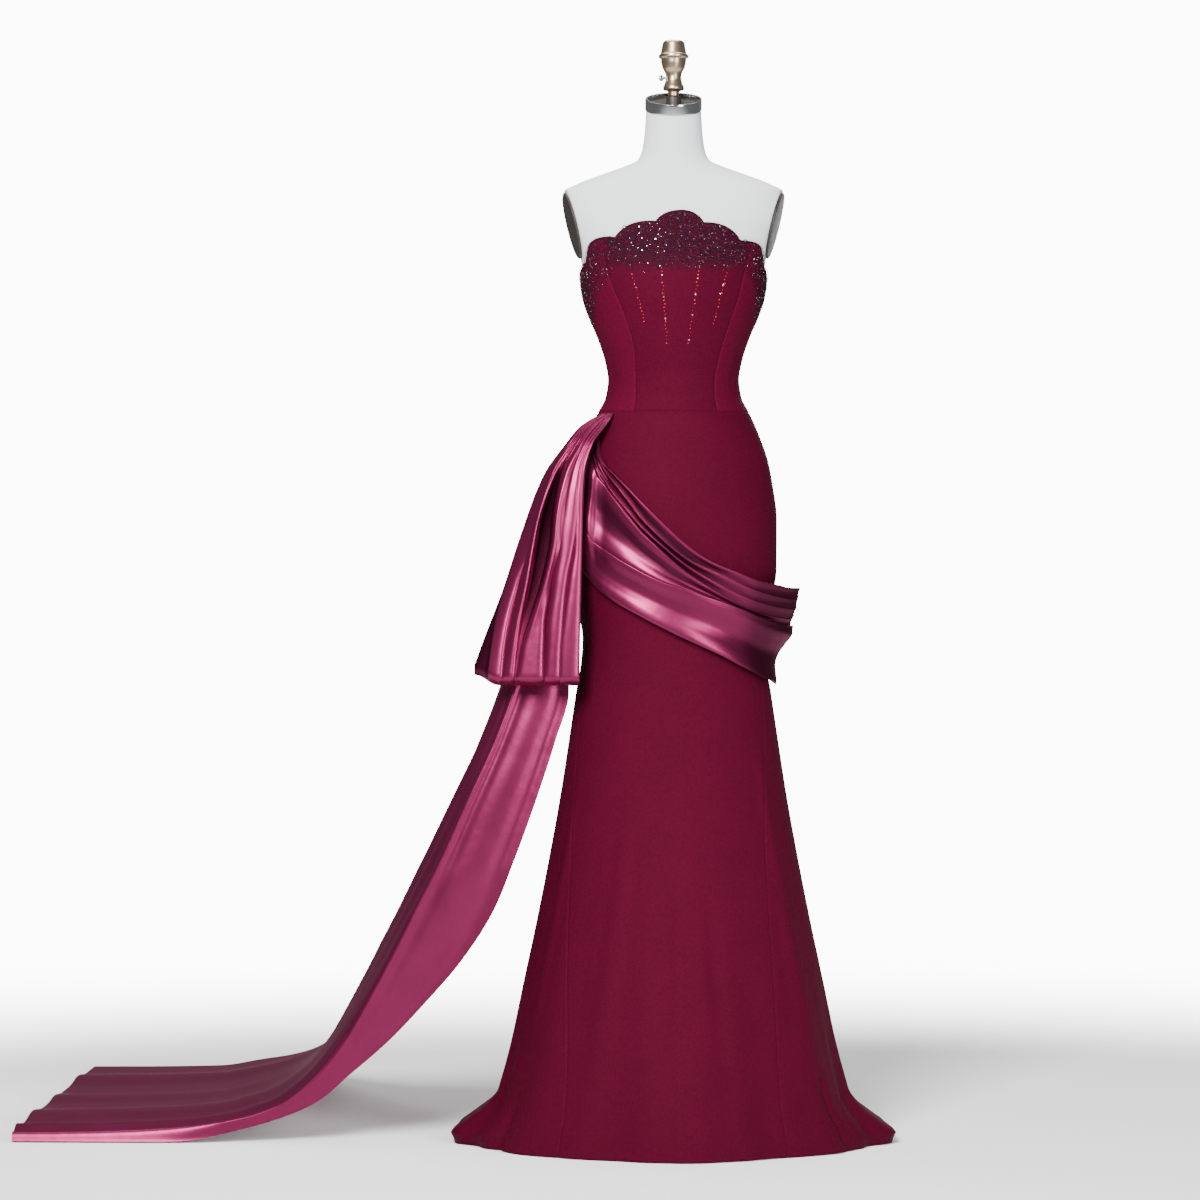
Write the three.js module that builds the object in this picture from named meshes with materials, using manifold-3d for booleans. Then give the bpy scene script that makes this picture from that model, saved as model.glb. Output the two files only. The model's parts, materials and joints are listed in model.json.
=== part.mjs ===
// Beaded evening gown on a limbless dress form with a pole stand.
// Millimetres. +Z up, -Y is the gown's front, +X the right-hand side seen from the front.
// The origin is the middle of the stand base's underside, on the floor.
import * as THREE from 'three';
import { mergeVertices } from 'three/addons/utils/BufferGeometryUtils.js';
import Module from 'manifold-3d';

const wasm = await Module();
wasm.setup();

// ---- driving dimensions -------------------------------------------------
const DEG = Math.PI / 180;
const SEAM_GAP = 0.3; // between pieces that are sewn or fastened to each other
const CLOTH_IN = 2.5; // the crepe's inner face, out from the figure
const CLOTH_OUT = 4.5; // the crepe's outer face
const GRIP = { high: 26, drop: 1.2 }; // the bodice's top edge closes in on the form over this height
const HEM_Z = 1.5;
const WAIST_Z = 1168;
const SATIN = 1.8; // thickness of the satin walls
const BAND_IN = 6.6; // the hip band's inner face, out from the figure
const BAND_SEAT = { span: 12, drop: 1.4 }; // degrees over which its sewn ends come in to the skirt, and how far

const TORSO_BOTTOM = 815;
const NECK_TOP = { y: -8, z: 1652, tilt: 20 };
const BAND_HEIGHT = 18;
const BAND_RADIUS = 45;
const ARM_PLATE = { x: 160.5, z: 1468, lean: 14, yaw: 9, high: 54, deep: 41, thick: 4 };
const POLE_RADIUS = 14;
const BASE = { radius: 190, thick: 14 };

const ZIP_BOTTOM = 1010;
const ZIP_HALF = 1.6;

// The figure's cross-sections. half: half width, front and back: depths from the axis, round: the
// front quarter's exponent, 2 for an ellipse and less where the front narrows to a point.
const FIGURE = [
  { z: 1655, half: 44, front: 42, back: 42, round: 2 },
  { z: 1620, half: 46, front: 43, back: 43, round: 2 },
  { z: 1590, half: 50, front: 45, back: 48, round: 2 },
  { z: 1572, half: 58, front: 46, back: 53, round: 2 },
  { z: 1562, half: 80, front: 48, back: 56, round: 2 },
  { z: 1550, half: 113, front: 54, back: 60, round: 2.1 },
  { z: 1536, half: 150, front: 63, back: 66, round: 2.2 },
  { z: 1520, half: 178, front: 71, back: 72, round: 2.3 },
  { z: 1490, half: 181, front: 82, back: 79, round: 2.3 },
  { z: 1450, half: 164, front: 91, back: 84, round: 2.2 },
  { z: 1413, half: 149, front: 101, back: 85, round: 2.1 },
  { z: 1381, half: 146, front: 108, back: 84, round: 2 },
  { z: 1349, half: 140.5, front: 107, back: 82, round: 2 },
  { z: 1317, half: 129.5, front: 101, back: 80, round: 2 },
  { z: 1285, half: 116.5, front: 94, back: 77, round: 2 },
  { z: 1253, half: 106, front: 88, back: 74, round: 2 },
  { z: 1221, half: 100.5, front: 83, back: 71, round: 2 },
  { z: 1193, half: 104.5, front: 82, back: 72, round: 2 },
  { z: 1168, half: 117, front: 86, back: 78, round: 2 },
  { z: 1125, half: 135.5, front: 94, back: 95, round: 2 },
  { z: 1093, half: 146.5, front: 99, back: 106, round: 2 },
  { z: 1061, half: 153, front: 103, back: 114, round: 2 },
  { z: 997, half: 161, front: 108, back: 124, round: 2 },
  { z: 917, half: 160.5, front: 110, back: 126, round: 2 },
  { z: 860, half: 150, front: 108, back: 120, round: 2 },
  { z: 805, half: 141, front: 105, back: 114, round: 2 },
  { z: 765, half: 144, front: 106, back: 116, round: 2 },
  { z: 725, half: 151, front: 109, back: 123, round: 2 },
  { z: 645, half: 163, front: 117, back: 142, round: 2 },
  { z: 549, half: 178, front: 129, back: 170, round: 1.95 },
  { z: 453, half: 195.5, front: 145, back: 203, round: 1.9 },
  { z: 357, half: 214.5, front: 164, back: 238, round: 1.85 },
  { z: 261, half: 235, front: 185, back: 274, round: 1.8 },
  { z: 165, half: 255, front: 206, back: 310, round: 1.76 },
  { z: 101, half: 272, front: 220, back: 335, round: 1.73 },
  { z: 69, half: 282, front: 227, back: 347, round: 1.71 },
  { z: 37, half: 298, front: 233, back: 358, round: 1.7 },
  { z: 0, half: 312, front: 238, back: 366, round: 1.7 },
];

// The long soft flutes of the skirt. angle: degrees round from the front, width: half its spread,
// depth: how far it stands out at the hem, top: where it starts.
const FLUTES = [
  { angle: -158, width: 14, depth: 20, top: 700 },
  { angle: -128, width: 13, depth: 16, top: 640 },
  { angle: -112, width: 11, depth: 13, top: 300 },
  { angle: -78, width: 9, depth: -13, top: 230 },
  { angle: -52, width: 14, depth: 9, top: 620 },
  { angle: -22, width: 13, depth: -6, top: 560 },
  { angle: 8, width: 13, depth: 5, top: 640 },
  { angle: 34, width: 12, depth: -7, top: 520 },
  { angle: 56, width: 13, depth: 9, top: 600 },
  { angle: 77, width: 9, depth: -14, top: 300 },
  { angle: 112, width: 11, depth: 13, top: 310 },
  { angle: 131, width: 14, depth: 17, top: 650 },
  { angle: 163, width: 13, depth: 19, top: 690 },
];
const HEM_KICK = { from: 60, to: 92, top: 88, out: 49, power: 1.15 };

// Seam lines, as the angle round the figure at a height.
const PRINCESS = [
  { z: 1490, left: -47, right: 50 },
  { z: 1420, left: -46, right: 50 },
  { z: 1385, left: -44, right: 47 },
  { z: 1320, left: -36, right: 43 },
  { z: 1270, left: -34, right: 41 },
  { z: 1220, left: -36, right: 38 },
  { z: 1168, left: -32, right: 34.5 },
];
const SKIRT_SEAM = [
  { z: 1168, left: -86, right: 86 },
  { z: 997, left: -80, right: 80 },
  { z: 725, left: -71, right: 64 },
  { z: 485, left: -57, right: 48 },
  { z: 165, left: -43, right: 41 },
  { z: 0, left: -39, right: 38 },
];
const SIDE_SEAM = 90;

// The bodice's top edge: scallops over the bust, then a plain edge round the back. Each row is the
// low point where a scallop starts, rise is how far that scallop bulges over its chord, and skew is
// under 1 where it bulges early and over 1 where it bulges late.
const NECKLINE = [
  { angle: -90, z: 1388, rise: 1, skew: 1 },
  { angle: -68, z: 1406, rise: 16, skew: 0.78 },
  { angle: -33, z: 1442, rise: 9, skew: 0.95 },
  { angle: -7.6, z: 1467, rise: 19.5, skew: 1 },
  { angle: 12.8, z: 1465, rise: 8.5, skew: 1.05 },
  { angle: 38, z: 1438, rise: 15, skew: 1.3 },
  { angle: 73.5, z: 1400, rise: 2, skew: 1 },
  { angle: 90, z: 1380, rise: 0, skew: 1 },
];
const BACK_NECK = { side: 1380, centre: 1352 };

// The satin hip band's edges round the figure, from under the bow loop, across the front, round the
// right hip and back behind. proud: how far the upper part stands off the skirt.
const BAND = [
  { angle: -74, high: 1120, low: 915, proud: 0 },
  { angle: -57, high: 1115, low: 903, proud: 1 },
  { angle: -40, high: 1085, low: 884, proud: 1 },
  { angle: -24, high: 1058, low: 862, proud: 1 },
  { angle: -8, high: 1012, low: 828, proud: 2 },
  { angle: 8, high: 972, low: 806, proud: 3 },
  { angle: 27, high: 924, low: 782, proud: 5 },
  { angle: 48, high: 904, low: 764, proud: 11 },
  { angle: 70, high: 895, low: 745, proud: 23 },
  { angle: 92, high: 885, low: 736, proud: 37 },
  { angle: 115, high: 888, low: 748, proud: 28 },
  { angle: 145, high: 900, low: 768, proud: 12 },
  { angle: 180, high: 938, low: 792, proud: 5 },
  { angle: 215, high: 990, low: 828, proud: 3 },
  { angle: 250, high: 1055, low: 872, proud: 2 },
  { angle: 282, high: 1104, low: 905, proud: 0 },
];
const BAND_SPLIT = 98;
const BAND_ROLL = { from: 0.5, over: 0.45 }; // the share of its width over which it rolls back in to the skirt
// The band's pressed folds. start and end: their place at the two ends, as a share of the band's
// width down from its upper edge, step: how far each fold stands over the next.
const BAND_PLEATS = [
  { start: 0.05, end: 0.08, step: 1.6 },
  { start: 0.1, end: 0.17, step: 1.8 },
  { start: 0.15, end: 0.27, step: 1.8 },
  { start: 0.2, end: 0.36, step: 1.6 },
  { start: 0.5, end: 0.56, step: 2.6 },
];

// The half-bow loop at the left hip: its front leaf. right and left: the leaf's edges across, and
// rightY, leftY their depth. apart: how far behind it the back leaf hangs.
const LOOP = [
  { z: 1164, right: -95.5, left: -114.5, rightY: -66, leftY: -45, apart: 5 },
  { z: 1146, right: -107, left: -146, rightY: -79, leftY: -55, apart: 8 },
  { z: 1115, right: -129, left: -172, rightY: -92, leftY: -66, apart: 13 },
  { z: 1067, right: -141, left: -206, rightY: -100, leftY: -66, apart: 19 },
  { z: 974, right: -145, left: -242, rightY: -110, leftY: -70, apart: 29 },
  { z: 883, right: -147, left: -272, rightY: -116, leftY: -76, apart: 36 },
  { z: 805, right: -149, left: -302, rightY: -118, leftY: -80, apart: 38 },
  { z: 750, right: -150, left: -322, rightY: -118, leftY: -82, apart: 36 },
];
// The loop's pleats. at: place across the leaf from its right edge, wide: half width, both as a share
// of the leaf, deep: depth of the trough at the bottom, top: the height at which it fades out.
const LOOP_PLEATS = [
  { at: 0.13, wide: 0.07, deep: 6, top: 1120 },
  { at: 0.3, wide: 0.07, deep: 7, top: 1120 },
  { at: 0.46, wide: 0.07, deep: 16, top: 1090 },
  { at: 0.63, wide: 0.07, deep: 8, top: 1110 },
  { at: 0.8, wide: 0.06, deep: 6, top: 1090 },
];
const LOOP_FOLD = { round: 16, lift: 16, liftFrom: 0.74 };

// The train from under the loop to the floor. e: its near edge, which tucks under at the floor. r: the
// ridge, which runs on as the roll along the floor. b: its far edge.
const TRAIN = [
  { ex: -121, ey: -29, ez: 1158, rx: -124.5, ry: -21, rz: 1158, bx: -127.6, by: -10, bz: 1158 },
  { ex: -154, ey: -37, ez: 1085, rx: -162, ry: -24, rz: 1085, bx: -168, by: -5, bz: 1085 },
  { ex: -168, ey: -42, ez: 989.9, rx: -187, ry: -29, rz: 990, bx: -200, by: 8, bz: 990 },
  { ex: -171, ey: -48, ez: 890, rx: -208, ry: -38, rz: 890, bx: -229, by: 14, bz: 890 },
  { ex: -166.9, ey: -50, ez: 800.2, rx: -234, ry: -41, rz: 800, bx: -256, by: 34, bz: 800 },
  { ex: -166.8, ey: -51, ez: 725.7, rx: -258, ry: -42, rz: 725, bx: -281, by: 65, bz: 722 },
  { ex: -188.4, ey: -54, ez: 646.9, rx: -288, ry: -46, rz: 645, bx: -313, by: 110, bz: 641 },
  { ex: -218.8, ey: -57, ez: 553.8, rx: -331, ry: -50, rz: 552, bx: -358, by: 180, bz: 540 },
  { ex: -253.9, ey: -58, ez: 457.3, rx: -375, ry: -50, rz: 456, bx: -408, by: 270, bz: 436 },
  { ex: -286, ey: -54, ez: 378.7, rx: -408, ry: -45, rz: 392, bx: -441, by: 350, bz: 363 },
  { ex: -336.1, ey: -44, ez: 300, rx: -456, ry: -35, rz: 297, bx: -502, by: 500, bz: 249 },
  { ex: -395.5, ey: -33, ez: 230.4, rx: -491, ry: -25, rz: 232, bx: -548, by: 640, bz: 166 },
  { ex: -456.4, ey: -22, ez: 166.5, rx: -530, ry: -15, rz: 166, bx: -607, by: 830, bz: 75 },
  { ex: -515.8, ey: -12, ez: 114.9, rx: -575, ry: -10, rz: 108, bx: -672, by: 940, bz: 40 },
  { ex: -576.9, ey: -4, ez: 65.4, rx: -632, ry: -4, rz: 62, bx: -745, by: 1000, bz: 22 },
  { ex: -689.3, ey: 0, ez: 25, rx: -706, ry: 0, rz: 38, bx: -815, by: 1030, bz: 8 },
  { ex: -800, ey: -2, ez: 5, rx: -803, ry: 6, rz: 25, bx: -880, by: 1042, bz: 5 },
  { ex: -930, ey: 1, ez: 4, rx: -932, ry: 10, rz: 19, bx: -970, by: 1044, bz: 4 },
  { ex: -1060, ey: 6, ez: 4, rx: -1060, ry: 14, rz: 17, bx: -1056, by: 1044, bz: 4 },
];
const TRAIN_RIDGE = 0.34; // the ridge's place across the train
const TRAIN_FLOOR = 1.2; // the underside of the train where it lies
const TRAIN_WAVES = { count: 2.5, deep: 7 };
const TRAIN_SAG = 2.5;

const FINIAL = [
  { r: 9, z: 1673 },
  { r: 9, z: 1682 },
  { r: 17, z: 1684 },
  { r: 17, z: 1688 },
  { r: 14.5, z: 1694 },
  { r: 12.6, z: 1700 },
  { r: 12.4, z: 1706 },
  { r: 14, z: 1712 },
  { r: 17.5, z: 1718 },
  { r: 20, z: 1727 },
  { r: 20.5, z: 1734 },
  { r: 24, z: 1735.5 },
  { r: 24, z: 1740 },
  { r: 21, z: 1741.5 },
  { r: 17.5, z: 1760 },
  { r: 14, z: 1763 },
];
const FINIAL_WAIST = 12.4; // its narrowest radius

// ---- finishes -------------------------------------------------------------
const finish = (color, roughness, metalness = 0) =>
  new THREE.MeshStandardMaterial({ color, roughness, metalness });
const CREPE = finish(0x7b1839, 0.8);
const SATIN_CLOTH = finish(0x7a2048, 0.3);
const LINEN = finish(0xeef1f5, 0.75);
const CHROME = finish(0xbfc4c9, 0.2, 1);
const BRASS = finish(0xa9875c, 0.35, 1);
const DARK_PLATE = finish(0x4c423f, 0.5);
const BLACK_IRON = finish(0x242424, 0.5, 0.8);
const NYLON = finish(0x6d1433, 0.5);

// ---- helpers ----------------------------------------------------------------
const lerp = (a, b, t) => a + (b - a) * t;
const clamp01 = (t) => Math.min(1, Math.max(0, t));
const smooth = (t) => clamp01(t) ** 2 * (3 - 2 * clamp01(t));

// A smooth curve through a column of a table, without overshoot. The table runs either way in `by`.
function column(table, by, key, at) {
  const rows = table[0][by] < table.at(-1)[by] ? table : [...table].reverse();
  const x = Math.min(Math.max(at, rows[0][by]), rows.at(-1)[by]);
  let i = 0;
  while (i < rows.length - 2 && x > rows[i + 1][by]) i += 1;
  const slope = (k) => (rows[k + 1][key] - rows[k][key]) / (rows[k + 1][by] - rows[k][by]);
  const tangent = (k) => {
    if (k === 0 || k === rows.length - 1) return slope(Math.min(k, rows.length - 2));
    const [m, n] = [slope(k - 1), slope(k)];
    return m * n <= 0 ? 0 : (2 * m * n) / (m + n);
  };
  const h = rows[i + 1][by] - rows[i][by];
  const t = (x - rows[i][by]) / h;
  const rest = 1 - t;
  return (
    rows[i][key] * (1 + 2 * t) * rest * rest +
    rows[i + 1][key] * t * t * (3 - 2 * t) +
    h * (tangent(i) * t * rest * rest - tangent(i + 1) * t * t * rest)
  );
}

const wrap = (angle) => ((((angle + 180) % 360) + 360) % 360) - 180;
const bump = (t) => (Math.abs(t) < 1 ? Math.cos((t * Math.PI) / 2) ** 2 : 0);

// How far the skirt's flutes and the hem's kick stand out from the plain figure.
function flare(angle, z) {
  let out = 0;
  for (const f of FLUTES) {
    const grown = clamp01((f.top - z) / f.top) ** 1.3;
    out += f.depth * grown * bump(wrap(angle - f.angle) / f.width);
  }
  const behind = smooth((Math.abs(wrap(angle)) - HEM_KICK.from) / (HEM_KICK.to - HEM_KICK.from));
  return out + HEM_KICK.out * behind * clamp01((HEM_KICK.top - z) / HEM_KICK.top) ** HEM_KICK.power;
}

// A point of the figure's surface, or of the gown that hangs from it, moved out by `off`.
function figure(angle, z, off = 0) {
  const out = off + flare(angle, z);
  const [s, c] = [Math.sin(angle * DEG), Math.cos(angle * DEG)];
  const power = 2 / (c > 0 ? column(FIGURE, 'z', 'round', z) : 2);
  const depth = c > 0 ? -column(FIGURE, 'z', 'front', z) - out : column(FIGURE, 'z', 'back', z) + out;
  return new THREE.Vector3(
    (column(FIGURE, 'z', 'half', z) + out) * Math.sign(s) * Math.abs(s) ** power,
    depth * Math.abs(c) ** power,
    z,
  );
}

// The angle that `mm` of cloth takes up round the figure at a height.
const turn = (angle, z, mm) => mm / (figure(angle, z).distanceTo(figure(angle + 1, z)) || 1);

const group = new THREE.Group();

function add(name, geometry, material) {
  const mesh = new THREE.Mesh(geometry, material);
  mesh.name = name;
  group.add(mesh);
  return mesh;
}

function fromTriangles(points, triangles) {
  const geometry = new THREE.BufferGeometry();
  geometry.setAttribute('position', new THREE.Float32BufferAttribute(points.flatMap((p) => [p.x, p.y, p.z]), 3));
  const [a, b, c] = [new THREE.Vector3(), new THREE.Vector3(), new THREE.Vector3()];
  let volume = 0;
  for (const [i, j, k] of triangles) {
    volume += a.copy(points[i]).dot(b.copy(points[j]).cross(c.copy(points[k])));
  }
  geometry.setIndex((volume < 0 ? triangles.map(([i, j, k]) => [i, k, j]) : triangles).flat());
  return geometry;
}

// A wall of cloth: two grids of points, face(u, v, side) with side 0 inside and 1 outside, closed
// all round its edges. us and vs are the steps along it and across it, from 0 to 1.
function wall(us, vs, face) {
  const points = [];
  const at = (i, j, side) => side * us.length * vs.length + i * vs.length + j;
  for (const side of [0, 1]) for (const u of us) for (const v of vs) points.push(face(u, v, side));
  const triangles = [];
  const quad = (a, b, c, d) => triangles.push([a, b, c], [a, c, d]);
  const [m, n] = [us.length - 1, vs.length - 1];
  for (let i = 0; i < m; i += 1) {
    for (let j = 0; j < n; j += 1) {
      quad(at(i, j, 1), at(i + 1, j, 1), at(i + 1, j + 1, 1), at(i, j + 1, 1));
      quad(at(i, j, 0), at(i, j + 1, 0), at(i + 1, j + 1, 0), at(i + 1, j, 0));
    }
    quad(at(i, 0, 0), at(i + 1, 0, 0), at(i + 1, 0, 1), at(i, 0, 1));
    quad(at(i, n, 1), at(i + 1, n, 1), at(i + 1, n, 0), at(i, n, 0));
  }
  for (let j = 0; j < n; j += 1) {
    quad(at(0, j, 1), at(0, j + 1, 1), at(0, j + 1, 0), at(0, j, 0));
    quad(at(m, j, 0), at(m, j + 1, 0), at(m, j + 1, 1), at(m, j, 1));
  }
  return fromTriangles(points, triangles);
}

// A closed body of rings, each a list of points, with a cap over each end.
function loft(rings) {
  const n = rings[0].length;
  const points = rings.flat();
  const middle = (ring) => ring.reduce((sum, p) => sum.add(p), new THREE.Vector3()).divideScalar(n);
  points.push(middle(rings[0]), middle(rings.at(-1)));
  const triangles = [];
  const last = (rings.length - 1) * n;
  for (let j = 0; j < n; j += 1) {
    const next = (j + 1) % n;
    for (let i = 0; i < rings.length - 1; i += 1) {
      triangles.push([i * n + j, i * n + next, (i + 1) * n + next], [i * n + j, (i + 1) * n + next, (i + 1) * n + j]);
    }
    triangles.push([rings.length * n, next, j], [rings.length * n + 1, last + j, last + next]);
  }
  return fromTriangles(points, triangles);
}

const steps = (count) => Array.from({ length: count + 1 }, (_, i) => i / count);

// ---- solids that are cut from others -------------------------------------------
function solid(geometry) {
  const bare = geometry.clone();
  for (const name of ['normal', 'uv']) bare.deleteAttribute(name);
  const merged = mergeVertices(bare, 1e-4);
  return new wasm.Manifold(
    new wasm.Mesh({
      numProp: 3,
      vertProperties: new Float32Array(merged.attributes.position.array),
      triVerts: new Uint32Array(merged.index.array),
    }),
  );
}

function geometryOf(manifold) {
  const mesh = manifold.getMesh();
  const geometry = new THREE.BufferGeometry();
  geometry.setAttribute('position', new THREE.BufferAttribute(new Float32Array(mesh.vertProperties), 3));
  geometry.setIndex(new THREE.BufferAttribute(new Uint32Array(mesh.triVerts), 1));
  return geometry;
}

// ---- the dress form ---------------------------------------------------------------
// The matrix of the neck's tilted top plane, and of an arm plate's plane with its +Z pointing out.
const neckPlane = new THREE.Matrix4()
  .makeTranslation(0, NECK_TOP.y, NECK_TOP.z)
  .multiply(new THREE.Matrix4().makeRotationX(NECK_TOP.tilt * DEG));

function armPlane(sign) {
  const out = new THREE.Vector3(
    sign * Math.cos(ARM_PLATE.yaw * DEG) * Math.cos(ARM_PLATE.lean * DEG),
    -Math.sin(ARM_PLATE.yaw * DEG),
    -Math.sin(ARM_PLATE.lean * DEG),
  ).normalize();
  const across = new THREE.Vector3(0, 0, 1).cross(out).normalize();
  const up = out.clone().cross(across);
  return new THREE.Matrix4().makeBasis(across, up, out).setPosition(sign * ARM_PLATE.x, 0, ARM_PLATE.z);
}

// A block that takes away everything past a plane.
function past(matrix, size) {
  return solid(new THREE.BoxGeometry(size, size, size).translate(0, 0, size / 2).applyMatrix4(matrix));
}

function torso() {
  const plain = [1317]; // heights where the form is nearly straight
  const heights = FIGURE.map((row) => row.z).filter((z) => z > TORSO_BOTTOM + 20 && !plain.includes(z));
  const tops = [1700, 1672, ...heights];
  const columns = 30;
  const ring = (z, off, slip = 0) =>
    steps(columns)
      .slice(1)
      .map((t) => figure(360 * t, z, off).add(new THREE.Vector3(0, slip, 0)));
  // The neck leans forward above its base.
  const lean = (z) => NECK_TOP.y * smooth((z - 1560) / (NECK_TOP.z - 1560));
  const rings = tops.map((z) => ring(z, 0, lean(z)));
  rings.push(ring(TORSO_BOTTOM + 9, -1), ring(TORSO_BOTTOM, -9));
  let body = solid(loft(rings)).subtract(past(neckPlane, 200));
  for (const sign of [-1, 1]) body = body.subtract(past(armPlane(sign), 260));
  add('form_torso', geometryOf(body), LINEN);
}

function ringProfile(points, segments, matrix) {
  const profile = points.map(([r, z]) => new THREE.Vector2(r, z));
  const lathe = new THREE.LatheGeometry(profile, segments).rotateX(Math.PI / 2);
  return matrix ? lathe.applyMatrix4(matrix) : lathe;
}

function neckFittings() {
  const [low, high] = [SEAM_GAP, SEAM_GAP + BAND_HEIGHT];
  const inner = BAND_RADIUS - 3;
  add(
    'form_neck_band',
    ringProfile(
      [
        [inner, low],
        [BAND_RADIUS, low],
        [BAND_RADIUS + 0.6, low + 2],
        [BAND_RADIUS + 0.6, high - 2],
        [BAND_RADIUS, high],
        [inner, high],
        [inner, low],
      ],
      30,
      neckPlane,
    ),
    CHROME,
  );
  // The plate fills the band's lower half, with a level boss that carries the finial.
  const plate = solid(
    ringProfile(
      [
        [0, low],
        [inner - SEAM_GAP, low],
        [inner - SEAM_GAP, low + 10],
        [0, low + 10],
      ],
      36,
      neckPlane,
    ),
  );
  const boss = solid(
    ringProfile(
      [
        [0, NECK_TOP.z + 5.5],
        [12, NECK_TOP.z + 5.5],
        [12, FINIAL[0].z - SEAM_GAP],
        [0, FINIAL[0].z - SEAM_GAP],
      ],
      24,
    ).translate(0, NECK_TOP.y, 0),
  );
  add('form_neck_plate', geometryOf(plate.add(boss)), DARK_PLATE);
}

function finial() {
  const profile = [[0, FINIAL[0].z], ...FINIAL.map((row) => [row.r, row.z]), [0, FINIAL.at(-1).z]];
  add('form_finial', ringProfile(profile, 20).translate(0, NECK_TOP.y, 0), BRASS);
  // The clamp screw's stem meets the finial's narrow waist from the left.
  const waist = FINIAL_WAIST;
  const screw = ringProfile(
    [
      [0, waist + SEAM_GAP],
      [2.4, waist + SEAM_GAP],
      [2.4, waist + 4],
      [5, waist + 5],
      [5, waist + 9],
      [3, waist + 11],
      [0, waist + 11],
    ],
    16,
  );
  add('form_clamp_screw', screw.rotateY(-Math.PI / 2).translate(0, NECK_TOP.y, 1703), CHROME);
}

function armPlates() {
  for (const [side, sign] of [
    ['left', -1],
    ['right', 1],
  ]) {
    const disc = ringProfile(
      [
        [0, SEAM_GAP],
        [1, SEAM_GAP],
        [1, ARM_PLATE.thick - 1],
        [0.96, ARM_PLATE.thick],
        [0, ARM_PLATE.thick],
      ],
      32,
    );
    disc.scale(ARM_PLATE.deep, ARM_PLATE.high, 1).applyMatrix4(armPlane(sign));
    add(`form_arm_plate_${side}`, disc, DARK_PLATE);
  }
}

function stand() {
  const [r, t] = [BASE.radius, BASE.thick];
  add(
    'stand_base',
    ringProfile(
      [
        [0, 0],
        [r - 2, 0],
        [r, 2],
        [r, t - 6],
        [r - 5, t - 1],
        [r - 14, t],
        [POLE_RADIUS + 14, t],
        [POLE_RADIUS + 12, t + 16],
        [0, t + 16],
      ],
      36,
    ),
    BLACK_IRON,
  );
  const [low, high] = [t + 16 + SEAM_GAP, TORSO_BOTTOM - SEAM_GAP];
  add(
    'stand_pole',
    ringProfile(
      [
        [0, low],
        [POLE_RADIUS, low],
        [POLE_RADIUS, high - 14],
        [POLE_RADIUS + 22, high - 6],
        [POLE_RADIUS + 22, high],
        [0, high],
      ],
      24,
    ),
    CHROME,
  );
}

// ---- the crepe gown ----------------------------------------------------------------
function neckline(angle) {
  const a = wrap(angle);
  if (Math.abs(a) >= SIDE_SEAM) {
    return lerp(BACK_NECK.side, BACK_NECK.centre, smooth((Math.abs(a) - SIDE_SEAM) / 70));
  }
  let i = 0;
  while (i < NECKLINE.length - 2 && a > NECKLINE[i + 1].angle) i += 1;
  const [low, high] = [NECKLINE[i], NECKLINE[i + 1]];
  const t = (a - low.angle) / (high.angle - low.angle);
  return lerp(low.z, high.z, t) + low.rise * Math.sin(Math.PI * t ** low.skew) ** 0.75;
}

const crepe = (angle, z, side) => figure(angle, z, side ? CLOTH_OUT : CLOTH_IN);

function bodiceCrepe(angle, z, side, top) {
  const drop = GRIP.drop * smooth(1 - (top - z) / GRIP.high);
  return figure(angle, z, (side ? CLOTH_OUT : CLOTH_IN) - drop);
}

// A panel of crepe between two seams, each the panel's edge angle at a height.
function panel(name, from, to, us, low, high, rows) {
  const cut = SEAM_GAP / 2;
  const geometry = wall(us, steps(rows), (u, v, side) => {
    const top = high(lerp(from(low), to(low), u));
    let z = lerp(low, top, v);
    // The seams lean, so the top edge is met again at the point's own angle.
    for (let i = 0; i < 3; i += 1) {
      z = lerp(low, high(lerp(from(z), to(z), u)), v);
    }
    const a = from(z) + turn(from(z), z, cut);
    const b = to(z) - turn(to(z), z, cut);
    return bodiceCrepe(lerp(a, b, u), z, side, high(lerp(from(z), to(z), u)));
  });
  add(name, geometry, CREPE);
}

// Steps across a panel that fall on the scallops' low points and between them.
function scallopSteps(from, to, between) {
  const marks = [from, ...NECKLINE.map((n) => n.angle).filter((a) => a > from + 3 && a < to - 3), to];
  const at = [];
  for (let i = 0; i < marks.length - 1; i += 1) {
    for (let k = 0; k < between; k += 1) at.push(lerp(marks[i], marks[i + 1], k / between));
  }
  at.push(to);
  return at.map((a) => (a - from) / (to - from));
}

const zipEdge = (z) => (z > ZIP_BOTTOM ? turn(180, z, ZIP_HALF + SEAM_GAP / 2) : 0);
const princess = (side) => (z) => column(PRINCESS, 'z', side, z);
const skirtSeam = (side) => (z) => column(SKIRT_SEAM, 'z', side, z);

function bodice() {
  const low = WAIST_Z + SEAM_GAP / 2;
  const [left, right] = [princess('left'), princess('right')];
  panel('bodice_front', left, right, scallopSteps(-47, 50, 4), low, neckline, 9);
  panel('bodice_side_front_left', () => -SIDE_SEAM, left, scallopSteps(-SIDE_SEAM, -46, 3), low, neckline, 9);
  panel('bodice_side_front_right', right, () => SIDE_SEAM, scallopSteps(50, SIDE_SEAM, 3), low, neckline, 9);
  panel('bodice_back_right', () => SIDE_SEAM, (z) => 180 - zipEdge(z), steps(8), low, neckline, 8);
  panel('bodice_back_left', (z) => -180 + zipEdge(z), () => -SIDE_SEAM, steps(8), low, neckline, 8);
}

function skirt() {
  const top = () => WAIST_Z - SEAM_GAP / 2;
  const [left, right] = [skirtSeam('left'), skirtSeam('right')];
  skirtPanel('skirt_front', left, right, 13, top);
  skirtPanel('skirt_back_right', right, (z) => 180 - zipEdge(z), 20, top);
  skirtPanel('skirt_back_left', (z) => -180 + zipEdge(z), left, 20, top);
}

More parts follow.
